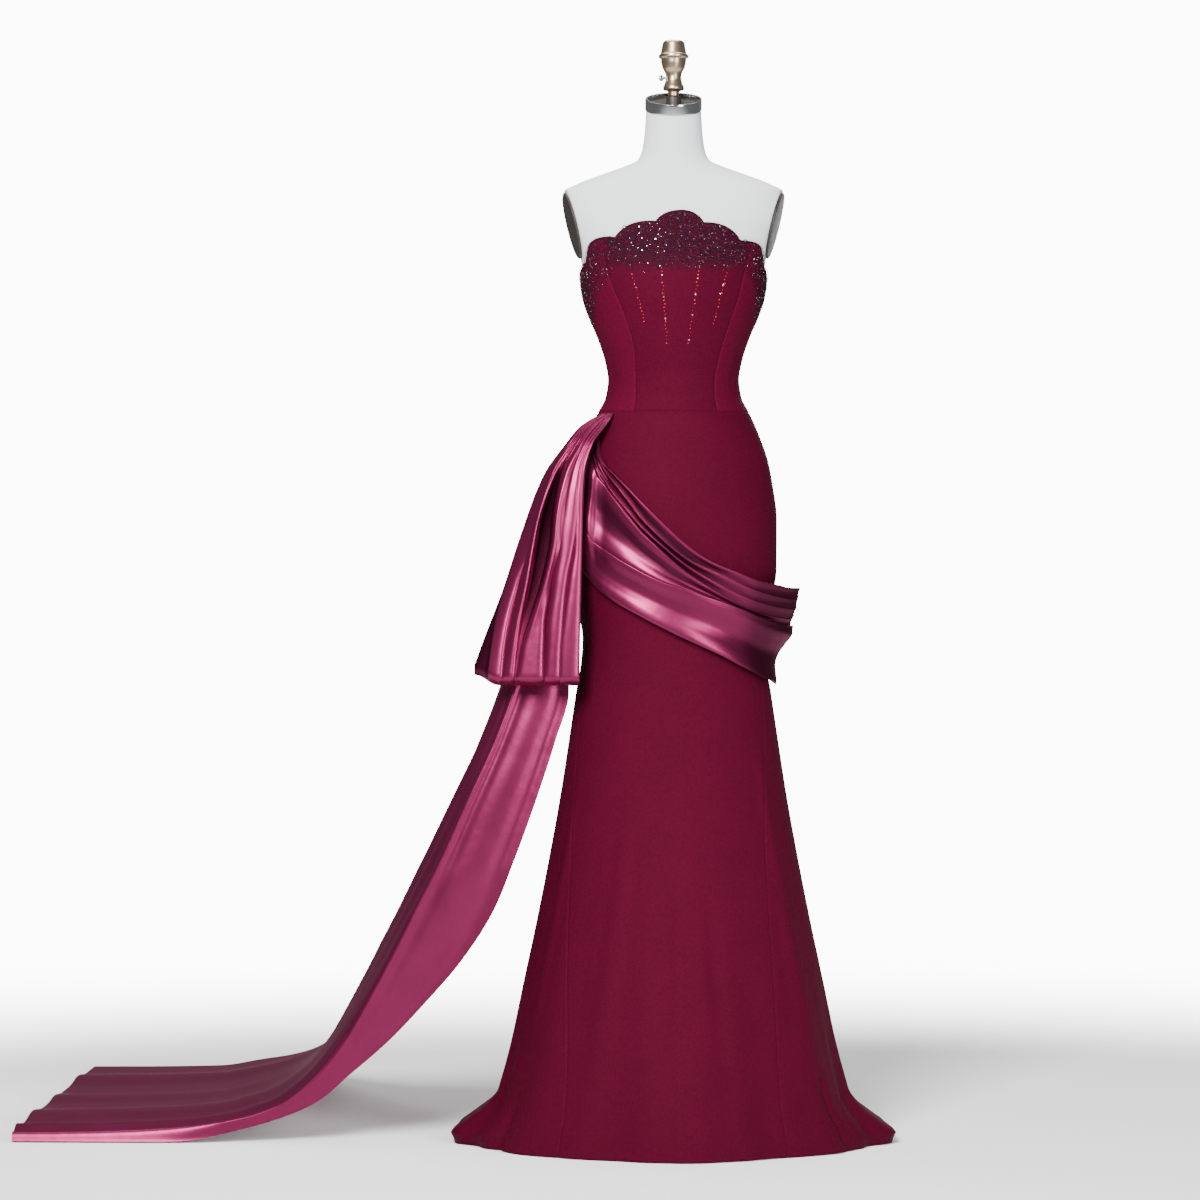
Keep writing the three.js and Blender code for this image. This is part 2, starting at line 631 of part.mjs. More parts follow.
// The skirt's rows lie closer together at the hip and at the hem's break.
const SKIRT_ROWS = [
  HEM_Z, 20, 40, 62, 88, 140, 210, 300, 400, 510, 620, 725, 765, 805, 860, 917, 960, 1009, 1011, 1061, 1110,
];

function skirtPanel(name, from, to, columns, top) {
  const cut = SEAM_GAP / 2;
  const rows = [...SKIRT_ROWS, top()];
  const vs = steps(rows.length - 1);
  const geometry = wall(steps(columns), vs, (u, v, side) => {
    const z = rows[Math.round(v * (rows.length - 1))];
    const a = from(z) + turn(from(z), z, cut);
    const b = to(z) - turn(to(z), z, cut);
    return crepe(lerp(a, b, u), z, side);
  });
  add(name, geometry, CREPE);
}

// ---- the zip at the centre back -------------------------------------------------------
const ZIP_TOP = BACK_NECK.centre - 2;
const ZIP_SUNK = 0.4; // the zip's face behind the crepe's, and the gap between the zip and its slider
const SLIDER_Z = ZIP_TOP - 14;
const TAB = { wide: 4.4, long: 24, thick: 1.4, pin: 1.4 };

function zip() {
  const rows = [ZIP_BOTTOM + 1.5, 1061, 1110, 1168, 1210, 1253, 1300, ZIP_TOP];
  const strip = wall([0, 1], steps(rows.length - 1), (u, v, side) => {
    const z = rows[Math.round(v * (rows.length - 1))];
    const p = figure(180, z, side ? CLOTH_OUT - ZIP_SUNK : CLOTH_IN);
    return p.setX(lerp(-ZIP_HALF, ZIP_HALF, u));
  });
  add('back_zip', strip, NYLON);
}

function zipSlider() {
  const y = figure(180, SLIDER_Z, CLOTH_OUT).y + ZIP_SUNK;
  const body = new THREE.Shape([
    new THREE.Vector2(-3.4, -5),
    new THREE.Vector2(3.4, -5),
    new THREE.Vector2(4.2, 5),
    new THREE.Vector2(-4.2, 5),
  ]);
  // Two cheeks stand out of the slider and carry the tab's pin.
  const plate = new THREE.ExtrudeGeometry(body, { depth: 1.8, bevelEnabled: false });
  plate.rotateX(Math.PI / 2).translate(0, y + 1.8, SLIDER_Z);
  let slider = solid(plate);
  for (const sign of [-1, 1]) {
    const cheek = new THREE.BoxGeometry(1, 3.2, 3.6).translate(sign * (TAB.wide / 2 + 0.9), y + 3.2, SLIDER_Z);
    slider = slider.add(solid(cheek));
  }
  add('zip_slider', geometryOf(slider), NYLON);
  const pinY = y + 3.6;
  const tab = new THREE.BoxGeometry(TAB.wide, TAB.thick, TAB.long).translate(0, pinY, SLIDER_Z - TAB.long / 2 + 1);
  add('zip_pull', tab, NYLON);
}

// ---- the satin -----------------------------------------------------------------------
// How far the band's folds raise it, at a share `down` of its width from its upper edge.
function bandFolds(along, down) {
  let out = 0;
  for (const p of BAND_PLEATS) {
    const at = lerp(p.start, p.end, along);
    out += p.step * bump((down - at - 0.03) / 0.05);
  }
  return out;
}

function bandPoint(angle, down, side) {
  const first = BAND[0].angle;
  const along = clamp01((angle - first) / (BAND_SPLIT - first));
  const high = column(BAND, 'angle', 'high', angle);
  const z = lerp(high, column(BAND, 'angle', 'low', angle), down);
  const proud = column(BAND, 'angle', 'proud', angle) * (1 - smooth((down - BAND_ROLL.from) / BAND_ROLL.over));
  const toEnd = Math.min(angle - first, BAND.at(-1).angle - angle);
  const seat = BAND_SEAT.drop * bump(toEnd / BAND_SEAT.span);
  const out = BAND_IN - seat + proud + side * (SATIN + bandFolds(along, down));
  return figure(angle, z, out);
}

function hipBand() {
  const downs = [0, 0.05, 0.1, 0.15, 0.2, 0.26, 0.33, 0.4, 0.47, 0.53, 0.59, 0.7, 0.85, 1];
  const piece = (name, from, to, columns, vs) => {
    const cut = turn(to, 850, SEAM_GAP / 2);
    const face = (u, v, side) => bandPoint(lerp(from + cut, to - cut, u), v, side);
    add(name, wall(steps(columns), vs, face), SATIN_CLOTH);
  };
  piece('hip_band_front', BAND[0].angle, BAND_SPLIT, 22, downs);
  piece('hip_band_back', BAND_SPLIT, BAND.at(-1).angle, 20, [0, 0.12, 0.24, 0.36, 0.56, 0.78, 1]);
}

// The loop's leaf at a height and a place across it, from 0 at its right edge to 1 at its left.
function leafPoint(z, across, back) {
  const row = (key) => column(LOOP, 'z', key, z);
  const x = lerp(row('right'), row('left'), across);
  const crown = Math.sin(Math.PI * across);
  let y = lerp(row('rightY'), row('leftY'), across);
  const grownCrown = crown * clamp01((LOOP[0].z - z) / 120);
  if (back) return new THREE.Vector3(x, y + row('apart') + grownCrown * 4, z);
  y -= grownCrown * 12;
  for (const p of LOOP_PLEATS) {
    const grown = clamp01((p.top - z) / (p.top - LOOP.at(-1).z));
    y += p.deep * Math.sqrt(grown) * bump((across - p.at) / p.wide);
  }
  return new THREE.Vector3(x, y, z);
}

// The strip runs down the front leaf, round the fold at the bottom and up the back leaf.
function loopPoint(u, across) {
  const lift = LOOP_FOLD.lift * smooth((across - LOOP_FOLD.liftFrom) / (1 - LOOP_FOLD.liftFrom));
  const bottom = LOOP.at(-1).z + lift;
  const top = LOOP[0].z;
  const [down, fold] = [0.42, 0.16];
  if (u < down) return leafPoint(lerp(top, bottom, u / down), across, false);
  if (u > down + fold) return leafPoint(lerp(bottom, top, (u - down - fold) / down), across, true);
  const front = leafPoint(bottom, across, false);
  const back = leafPoint(bottom, across, true);
  const turnBy = ((u - down) / fold) * Math.PI;
  const middle = front.clone().lerp(back, 0.5);
  const reach = front.clone().sub(middle).multiplyScalar(Math.cos(turnBy));
  return middle.add(reach).add(new THREE.Vector3(0, 0, -LOOP_FOLD.round * Math.sin(turnBy)));
}

// A surface's outward normal, from its neighbouring points.
function normalOf(point, u, v) {
  const e = 0.004;
  const [u0, u1] = [Math.max(0, u - e), Math.min(1, u + e)];
  const [v0, v1] = [Math.max(0, v - e), Math.min(1, v + e)];
  const alongU = point(u1, v).sub(point(u0, v));
  return alongU.cross(point(u, v1).sub(point(u, v0))).normalize();
}

function satinWall(us, vs, point) {
  const face = (u, v, side) => point(u, v).addScaledVector(normalOf(point, u, v), -side * SATIN);
  return wall(us, vs, face);
}

function bowLoop() {
  const us = [0, 0.06, 0.12, 0.19, 0.26, 0.34, 0.42, 0.455, 0.5, 0.545, 0.58, 0.66, 0.74, 0.82, 0.9, 1];
  const across = [0, 0.06, 0.13, 0.2, 0.24, 0.3, 0.36, 0.4, 0.46, 0.52, 0.57, 0.63, 0.69, 0.75, 0.8, 0.86, 1];
  add('bow_loop', satinWall(us, across, loopPoint), SATIN_CLOTH);
}

function trainPoint(u, v) {
  const rows = TRAIN.map((row, i) => ({ ...row, i: i / (TRAIN.length - 1) }));
  const at = (axis) => {
    const across = ['e', 'r', 'b'].map((edge, i) => ({
      v: [0, TRAIN_RIDGE, 1][i],
      place: column(rows, 'i', edge + axis, u),
    }));
    return column(across, 'v', 'place', v);
  };
  const p = new THREE.Vector3(at('x'), at('y'), at('z'));
  // Long soft waves fall from the gathers and die out on the floor.
  const swell = Math.sin(Math.PI * clamp01((u - 0.1) / 0.75)) * Math.sin(Math.PI * v);
  const wave = TRAIN_WAVES.deep * swell * Math.cos(2 * Math.PI * TRAIN_WAVES.count * v);
  p.x += wave * 0.8;
  p.z = Math.max(TRAIN_FLOOR, p.z + wave * 0.4 - TRAIN_SAG);
  return p;
}

function train() {
  const across = [0, 0.12, 0.22, 0.3, 0.38, 0.46, 0.56, 0.68, 0.84, 1];
  // The outer face is the one that ends uppermost on the floor.
  const side = normalOf(trainPoint, 1, 0.7).z > 0 ? 1 : -1;
  const face = (u, v, outer) =>
    trainPoint(u, v).addScaledVector(normalOf(trainPoint, u, v), outer * side * SATIN);
  add('train', wall(steps(26), across, face), SATIN_CLOTH);
}

torso();
neckFittings();
finial();
armPlates();
stand();
bodice();
skirt();
zip();
zipSlider();
hipBand();
bowLoop();
train();

export default group;
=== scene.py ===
import json
from math import cos, pi, radians, sin

import bmesh
import bpy
import numpy as np
from bpy.props import FloatProperty, FloatVectorProperty, PointerProperty
from mathutils import Matrix, Vector

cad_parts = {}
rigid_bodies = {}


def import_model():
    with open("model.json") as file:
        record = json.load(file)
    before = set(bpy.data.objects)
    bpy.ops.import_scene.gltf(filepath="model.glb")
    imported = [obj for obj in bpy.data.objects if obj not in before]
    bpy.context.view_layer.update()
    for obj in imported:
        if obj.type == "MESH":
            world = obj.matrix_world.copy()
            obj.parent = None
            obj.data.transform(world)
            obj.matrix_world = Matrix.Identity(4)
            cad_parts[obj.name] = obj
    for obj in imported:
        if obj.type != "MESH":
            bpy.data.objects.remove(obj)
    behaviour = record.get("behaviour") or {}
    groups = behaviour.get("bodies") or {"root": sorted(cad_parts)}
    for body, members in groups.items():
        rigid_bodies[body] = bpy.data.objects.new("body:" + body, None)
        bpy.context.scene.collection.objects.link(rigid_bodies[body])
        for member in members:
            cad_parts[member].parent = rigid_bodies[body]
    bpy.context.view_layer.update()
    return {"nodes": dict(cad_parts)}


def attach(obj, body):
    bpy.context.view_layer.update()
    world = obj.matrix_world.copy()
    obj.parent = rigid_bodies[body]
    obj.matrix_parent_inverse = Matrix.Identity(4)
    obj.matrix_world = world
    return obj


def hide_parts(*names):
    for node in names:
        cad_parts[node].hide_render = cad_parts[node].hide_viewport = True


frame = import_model()

bl_info = {
    "name": "Beaded Evening Gown",
    "version": (1, 0, 0),
    "blender": (4, 5, 0),
    "location": "View3D > Sidebar > Gown",
    "description": "Builds a beaded evening gown on its dress form, with a stage for it",
    "category": "Object",
}

# Metres and degrees. +Z is up, -Y is the gown's front, and +X the right-hand side seen from the front.
# An angle runs round the figure from the front, 0, over +X, 90, to the back, 180.


# ---- tables ------------------------------------------------------------------------------------
def table(columns, *rows):
    """A table of numbers as named columns."""
    return dict(zip(columns.split(), np.array(rows, float).T))


def rows_of(rows):
    """The rows of a table, each with its named values."""
    return [dict(zip(rows, values)) for values in zip(*rows.values())]


# ---- the measures --------------------------------------------------------------------------------
# In metres. The form, the gown's panels, the loop and the train follow the plain solids. The hem's kick has
# a curled edge here that the solids don't have.
GAP = 0.0003  # between fittings
CLOTH_OUT = 0.0045  # the crepe's outer face, out from the figure
CREPE_THICK = 0.0012
SATIN_THICK = 0.0018
SATIN_SHARP = 75  # degrees past which its drape and loop are creased sharp
GRIP = {"high": 0.026, "drop": 0.0012}  # the bodice's top edge closes in on the form
# The rounding of the bodice's top edge, and the share of it that the inner face has.
TOP_ROLL = {"deep": 0.0006, "wide": 0.0022, "inner": 0.6}
HEM_Z = 0.0015
HEM_FOLD = {"high": 0.032, "thick": 0.0007}  # the hem's turned-up layer
WAIST_Z = 1.168
SIDE_SEAM = 90
# How a panel's edge turns in at its seams, and the share of it that a bodice panel's inner face turns back.
SEAM = {"deep": 0.0011, "wide": 0.0034, "inner": 0.5}
SEAM_STEPS = (0, 0.0006, 0.0012, 0.002, 0.003, 0.0045)
SCALLOP_ROUND = 0.75  # below 1, the scallops' tops are fuller
BACK_NECK = {"side": 1.38, "centre": 1.352, "span": 70}
FLUTE_GROWTH = 1.3  # above 1, the skirt's flutes open mostly near the hem
# The hem's kick behind: the angles over which it grows, the height it starts at, how far it stands out and
# how fast, and how far its edge curls back under, from what share of the way down.
HEM_KICK = {
    "start": 60, "end": 92, "top": 0.088, "out": 0.05, "power": 1.6, "full": 0.8,
    "curl": 0.3, "curl_from": 0.72,
}
HEM_ROLL = {"deep": 0.0005, "high": 0.002}  # the rounding of the hem's edge
# The rows of a bodice panel, as shares of its height, and of a skirt panel: where the close rows at the hem
# end and the others start, each with its step, and the rows beside the hem's edge and the waist seam.
BODICE_ROWS = {"count": 105, "edge": (0.002, 0.005, 0.009)}
SKIRT_ROWS = {"hem": (0.1, 0.0045), "body": (0.105, 0.0075)}
HEM_EDGE_ROWS = (0.0008, 0.002)
WAIST_EDGE_ROWS = (0.005, 0.003, 0.0015, 0.0006, 0)
ZIP = {"low": 1.01, "half": 0.0018}
TORSO_BOTTOM = 0.815
TORSO_ROLL = ((-0.009, 0), (-0.0045, 0.0012), (-0.0015, 0.0045))  # its lower edge: how far in and how high
TORSO_RINGS = ((TORSO_BOTTOM + 0.009, 1.5, 0.006), (1.502, 1.7, 0.0025))  # from, to and a step
TORSO_TURN = 2.5  # degrees between the torso's lines of points
NECK_LEAN_FROM = 1.56
NECK_TOP = {"y": -0.008, "z": 1.652, "tilt": 20}
NECK_BAND = {"high": 0.018, "radius": 0.045, "thick": 0.003, "bulge": 0.0006, "edge": 0.002}
NECK_CAP_HIGH = 0.01
NECK_BOSS = {"low": 0.0055, "radius": 0.012}
FINIAL_WAIST = 0.0124
# How far the corners of the form's turned fittings are rounded.
ROUNDING = {"edge": 0.001, "inside": 0.0006, "finial": 0.0022, "screw": 0.0006, "arm_plate": 0.0008}
CLAMP_SCREW_Z = 1.703
# The clamp screw's radii, and how far each is out from the finial's waist.
CLAMP_SCREW = (
    (0, GAP), (0.0024, GAP), (0.0024, 0.004), (0.005, 0.005), (0.005, 0.009), (0.003, 0.011), (0, 0.011),
)
ARM_PLATE = {
    "x": 0.1605, "z": 1.468, "lean": 14, "yaw": 9, "high": 0.054, "deep": 0.041, "thick": 0.004,
    "bevel": 0.0012, "face": 0.97,
}
BAND_IN = 0.0066  # the drape's inner face, out from the figure
BAND_SEAT = {"span": 12, "drop": 0.0014}
BAND_SPLIT = 98
DRAPE_COLUMNS = {"front": 200, "back": 130}
LOOP_FOLD = {"round": 0.016, "lift": 0.016, "start": 0.74, "down": 0.42, "fold": 0.16}
LOOP_ROWS = {"front": 90, "fold": 26, "back": 40}
LOOP_COLUMNS = 14  # between two of its creases
LOOP_FRONT = (20, 50)  # row and column of a point on the loop's front
# How fast the loop comes out of its creases, the ridge beside its slit, the step down to the back flap, and
# how far and how fast its edges turn in.
LOOP_CREASE = {
    "soft": 0.0042, "sharp": 0.003, "ridge": 0.2, "ridge_at": 0.008, "ridge_wide": 0.005, "flap": 0.003,
    "edge": 0.003, "edge_wide": 0.004,
}
LOOP_RUFFLES = {"count": 11, "uneven": 1.5, "swing": 9}
LOOP_CROWN = {"grown": 0.12, "front": 0.014, "back": 0.004}  # over what height it fills out, and how far
LOOP_BACK_FOLDS = ((0.004, 13, 0), (0.003, 23, 1))  # depth, turns across it and where they start
LOOP_SHADE = {"from": 0.003, "over": 0.011}  # painted shade: from what depth, and over what more, a crease's colour is painted darker
TRAIN_RIDGE = 0.34
TRAIN_FLOOR = 0.0012
TRAIN_GRID = (300, 110)  # rows and columns of points
TRAIN_LAID = (-2, 77)  # row and column of a point where the train lies on the floor
TRAIN_WAVES = {"count": 2.5, "deep": 0.007, "start": 0.1, "span": 0.75, "aside": 0.8, "up": 0.4}
TRAIN_SAG = 0.0025
TRAIN_FOLD_ENDS = 1.3  # above 1, the folds start and end more softly
# Soft folds along the train: where across it, how wide, how high, and where they start and end along it.
TRAIN_FOLDS = table(
    "v width high start end",
    (0.05, 0.055, -0.0026, 0.06, 0.72),
    (0.15, 0.100, 0.0042, 0.04, 0.66),
    (0.235, 0.045, -0.0016, 0.10, 0.70),
    (0.30, 0.040, 0.0035, 0.05, 0.78),
    (0.46, 0.060, -0.0050, 0.12, 0.62),
    (0.62, 0.080, 0.0070, 0.20, 0.70),
    (0.82, 0.070, 0.0045, 0.30, 0.66),
    (0.44, 0.050, 0.0085, 0.62, 1.30),
    (0.58, 0.070, 0.0100, 0.66, 1.18),
    (0.72, 0.045, 0.0055, 0.70, 1.40),
    (0.87, 0.060, 0.0080, 0.60, 1.24),
)

# Soft folds in the crepe, between a low and a high end, each with its angles there.
CREPE_FOLDS = table(
    "low high fade low_angle high_angle width depth",
    (0.02, 0.62, 0.25, -33, -22, 7, 0.0035),
    (0.02, 0.5, 0.22, 22, 14, 6, -0.003),
    (0.02, 0.55, 0.25, -8, -4, 8, -0.003),
    (0.1, 0.72, 0.2, 58, 50, 7, 0.003),
    (0.05, 0.66, 0.24, -64, -58, 6, 0.003),
    (0.1, 0.7, 0.25, 170, 172, 7, 0.004),
    (0.05, 0.6, 0.25, -170, -168, 6, -0.004),
    (0.1, 0.66, 0.22, 146, 150, 6, 0.004),
    (0.06, 0.58, 0.2, -146, -150, 6, 0.004),
    (-0.03, 0.1, 0.05, -64, -63, 3, -0.008),
    (-0.03, 0.15, 0.07, 61, 57, 3, -0.007),
    (1.19, 1.27, 0.03, -60, -72, 7, -0.0008),
    (1.19, 1.28, 0.03, 58, 70, 7, -0.0008),
)
# The drape's five lapped layers, three narrow and two broad: how far each stands out, in metres, from
# its upper edge, 0, to the next one's, 1.
DRAPE_LAYERS = (("narrow", 12), ("narrow", 11), ("narrow", 10), ("upper", 36), ("lower", 40))
DRAPE_PROFILE = table(
    "t narrow upper lower",
    (0, 0.0068, 0.0062, 0.0078),
    (0.1, 0.006, 0.0054, 0.0072),
    (0.3, 0.003, 0.0022, 0.0038),
    (0.48, 0.001, 0.0002, 0.003),
    (0.65, 0.0003, 0.0008, 0.005),
    (0.82, 0, 0.004, 0.0082),
    (0.93, 0, 0.0052, 0.009),
    (1, 0, 0.0048, 0.0082),
)
# How much painted shadow each kind of layer's colour takes in its folds.
DRAPE_PAINTED_SHADE = table(
    "t narrow upper lower",
    (0, 0, 0, 0),
    (0.14, 0.1, 0.3, 0.25),
    (0.3, 0.7, 0.95, 0.35),
    (0.55, 1, 0.85, 0.1),
    (0.75, 1, 0.15, 0),
    (0.93, 1, 0, 0),
    (1, 1, 0.5, 0.1),
)
# Painted shadow in the drape's colour where it runs in under the loop and where it rolls away at the right
# hip.
DRAPE_SHADE = table(
    "angle deep",
    (-74, 0.5),
    (-60, 0.2),
    (-50, 0.1),
    (-38, 0),
    (22, 0),
    (38, 0.35),
    (52, 0.9),
    (72, 1),
    (92, 0.8),
    (125, 0.2),
    (160, 0),
    (282, 0.3),
)
DRAPE_LIP = ((0.001, 0.0024), (0.0013, 0.001), (0.0008, 0.0002))  # how far its rows go up and in
DRAPE_LINING = 0.35  # the share of a broad layer in which its inner face leaves the layer above
DRAPE_CROWDING = 1.15  # above 1, a layer's rows lie closer together at its upper edge
DRAPE_NARROW = 3  # how many layers are narrow
DRAPE_STEP = 0.00005  # the most that the inner face's doubled rows lie below each other
# The drape comes forward where it runs in under the loop.
DRAPE_SWELL = table(
    "angle out",
    (-74, 0),
    (-66, 0.008),
    (-58, 0.016),
    (-53, 0.0145),
    (-46, 0.004),
    (-40, 0),
    (0, 0),
)
DRAPE_SWELL_SPAN = (0.9, 0.96, 1.06, 1.11)
# How much of each layer's fold there is, round the figure.
DRAPE_FADE = table(
    "angle layer0 layer1 layer2 layer3 layer4",
    (-74, 0.5, 0.5, 0.5, 0.3, 0.3),
    (-58, 0.6, 0.6, 0.6, 0.5, 0.4),
    (-40, 0.9, 0.9, 0.9, 0.8, 0.8),
    (-10, 1, 1, 1, 1, 1),
    (15, 1, 1, 0.9, 1, 1.1),
    (40, 0.7, 0.7, 0.6, 0.7, 1.2),
    (70, 0.32, 0.26, 0.24, 0.3, 0.9),
    (92, 0.22, 0.18, 0.18, 0.22, 0.8),
    (120, 0.4, 0.4, 0.4, 0.4, 0.9),
    (180, 0.7, 0.8, 0.7, 0.7, 0.9),
    (250, 0.8, 0.8, 0.8, 0.7, 0.6),
    (282, 0.3, 0.3, 0.3, 0.2, 0.2),
)
# How far the drape stands off at the right hip, down its width.
DRAPE_ROLL = table(
    "share out",
    (0, 1),
    (0.18, 1.04),
    (0.34, 0.96),
    (0.41, 0.92),
    (0.48, 0.95),
    (0.58, 0.72),
    (0.68, 0.42),
    (0.8, 0.17),
    (1, 0),
)
BEAD_SEAT = 0.0003  # the middle of a bead's base over the cloth
NEAR = {"turn": 0.5, "rise": 0.002}  # how near the points are that give the cloth's normal under a bead
BEADED_SHADE = 0.75  # how far the cloth goes to BEADED_COLOUR where it is fully beaded
BEADED_COLOUR = (0.022, 0.0022, 0.012)
BEADED_LOW = 1.285  # below the lowest strewn bead
BEADED_GRID = (64, 500)  # rows and columns of the cloth that beads are strewn on
BEADED_HALF = 179.4  # degrees to either side, short of the zip
# How the strewn beading thins: over what height at its low edge, how far below the top edge it ends and over
# what, and the share it has low down, with what more it has from a height over its low edge.
BEADING_THINS = {
    "low": 0.022, "below_top": 0.0015, "top": 0.001, "share": 0.75, "more": 0.35, "from": 0.02, "over": 0.03,
}
# Where the strewn beading ends below, and how full it is, round the figure.
BEADING = table(
    "angle low full",
    (-180, 1.322, 0.7),
    (-130, 1.330, 0.7),
    (-100, 1.310, 0.85),
    (-85, 1.296, 1),
    (-70, 1.312, 0.9),
    (-58, 1.338, 0.65),
    (-46, 1.364, 0.5),
    (-37, 1.385, 0.85),
    (-20, 1.382, 1),
    (20, 1.382, 1),
    (41, 1.385, 0.9),
    (50, 1.371, 0.5),
    (61, 1.344, 0.65),
    (73, 1.314, 0.9),
    (87, 1.296, 1),
    (100, 1.310, 0.85),
    (130, 1.330, 0.7),
    (180, 1.322, 0.7),
)
# Strewn beads: name, shape, finish, beads to a square metre, least distance apart, and smallest and
# largest size in millimetres.
STREWN = (
    ("sequins_plum", "sequin", "plum_foil", 34000, 0.0022, 1.7, 2.4),
    ("beads_jet", "rocaille", "jet", 130000, 0.0016, 1.2, 1.9),
    ("beads_red", "rocaille", "red_glass", 20000, 0.0025, 1.2, 1.9),
    ("beads_lilac", "rocaille", "lilac_crystal", 8000, 0.004, 1.0, 1.5),
    ("stones_clear", "brilliant", "crystal", 9000, 0.0045, 0.9, 1.8),
)
# Strung beads: name, shape, finish, metres apart, and smallest and largest size in millimetres.
STRUNG = (
    ("edge_beads", "rocaille", "jet", 0.0019, 1.5, 1.8),
    ("bust_rows", "rocaille", "plum_glass", 0.0022, 1.6, 2.2),
    ("side_streaks", "rocaille", "jet", 0.003, 1.5, 2.3),
    ("drip_beads", "rocaille", "ruby_glass", 0.0057, 0.9, 3.3),
)
SEEDS = {"strewn": 11, "strung": 40}  # the first piece's; the next ones count on
EDGE_BEADS = {"half": 179, "points": 900, "below": 0.0012}
ROW_WAVE = {"deep": 0.0012, "degrees": 5.0}
ROW_POINTS = 90
LINE_POINTS = 40
DRIP_WIGGLE = ((0.35, 31, 0), (0.25, 53, 1))  # degrees, turns along a drip and where they start
BUST_ROWS = table(
    "start end z sag",
    (-34, 40, 1.4275, 0.003),
    (-35, 41, 1.4245, 0.004),
    (-36, 42, 1.4125, 0.003),
    (-36, 42, 1.4095, 0.004),
)
SIDE_STREAKS = table(
    "top_angle top low_angle low",
    (-84, 1.375, -74, 1.318),
    (-79, 1.382, -69, 1.325),
    (-74, 1.388, -65, 1.332),
    (-70, 1.392, -62, 1.342),
    (-88, 1.372, -82, 1.312),
    (86, 1.372, 77, 1.318),
    (81, 1.380, 72, 1.325),
    (76, 1.386, 68, 1.334),
    (90, 1.368, 84, 1.312),
)
DRIPS = table(
    "top_angle top low_angle low sway",
    (-27.5, 1.393, -21.5, 1.308, 0.8),
    (-8, 1.391, -6, 1.274, 0.3),
    (14.5, 1.392, 10.8, 1.274, -0.3),
    (33.5, 1.390, 28.5, 1.305, -0.8),
)
# The larger stones on the drips, and the flowers: their angles and heights.
DROPS = table(
    "angle z",
    (-24.2, 1.361),
    (-7.6, 1.380),
    (-6.9, 1.346),
    (-6.4, 1.312),
    (13.9, 1.375),
    (12.9, 1.350),
    (12.0, 1.318),
    (11.0, 1.279),
    (31.2, 1.366),
    (29.6, 1.352),
)
FLOWERS = table(
    "angle z",
    (-27, 1.397),
    (-8.5, 1.395),
    (14.5, 1.395),
    (33, 1.396),
    (-36, 1.435),
    (-25, 1.457),
    (-16.5, 1.458),
    (1, 1.471),
    (-9, 1.438),
    (-18, 1.420),
    (15, 1.438),
    (24, 1.425),
    (22, 1.458),
    (42, 1.437),
    (-55, 1.416),
    (-66, 1.386),
    (-74, 1.358),
    (62, 1.412),
    (72, 1.378),
    (80, 1.352),
)
# Stones set one by one: name, shape, finish, their places, smallest and largest size, and a seed.
SET_STONES = (
    ("flower_petals", "petals", "jet", FLOWERS, 7.5, 10.0, 71),
    ("flower_hearts", "brilliant", "crystal", FLOWERS, 1.6, 2.5, 72),
    ("drip_drops", "brilliant", "rose_crystal", DROPS, 2.4, 3.8, 81),
)
# The beads' shapes are 1 mm across, and their sizes in millimetres scale them.
ROCAILLE = {"radius": 0.0005, "high": 0.8}
# A faceted stone's rings from the top: radius and height, in millimetres, and turn.
BRILLIANT_RINGS = ((0.3, 0.34, 0), (0.44, 0.2, 0.5), (0.5, 0.05, 0), (0.42, -0.1, 0))
SEQUIN = {"radius": 0.0005, "inner": 0.0005 / 2.6, "cup": 0.00022, "wave": 0.00008}
PETAL = {"out": 0.00033, "up": 0.00004, "wide": 0.55, "high": 0.6, "radius": 0.00019}
# The camera: `frame` is its view's width at the axis.
CAMERA = {"distance": 6.5, "frame": 1.92, "x": -0.1176, "z": 0.869, "sensor": 36, "far": 50}
FLOOR_HALF = 9
FLOOR_CLEARS = (1.3, 3.4)  # metres from the axis over which the floor clears away
# Area lights: where each is, where it points, its width and height, and its share of the key light's power.
LIGHTS = (
    ("key", (-1.1, -3.5, 2.9), (-0.1, 0, 1.1), (1.1, 2.0), 1),
    ("fill", (2.1, -4.0, 1.5), (-0.1, 0, 0.8), (1.2, 2.6), 0.34),
    ("top", (-0.3, 0.6, 4.4), (-0.3, 0, 0), (3.0, 2.0), 0.35),
    ("behind", (0.8, 4.0, 2.4), (-0.1, 0, 0.9), (2.4, 2.4), 0.24),
)
TRAIN_SPOT = {"at": (2.6, -3.6, 0.9), "aim": (-0.5, 0, 0.35), "wide": 17, "blend": 0.8, "soft": 0.35}

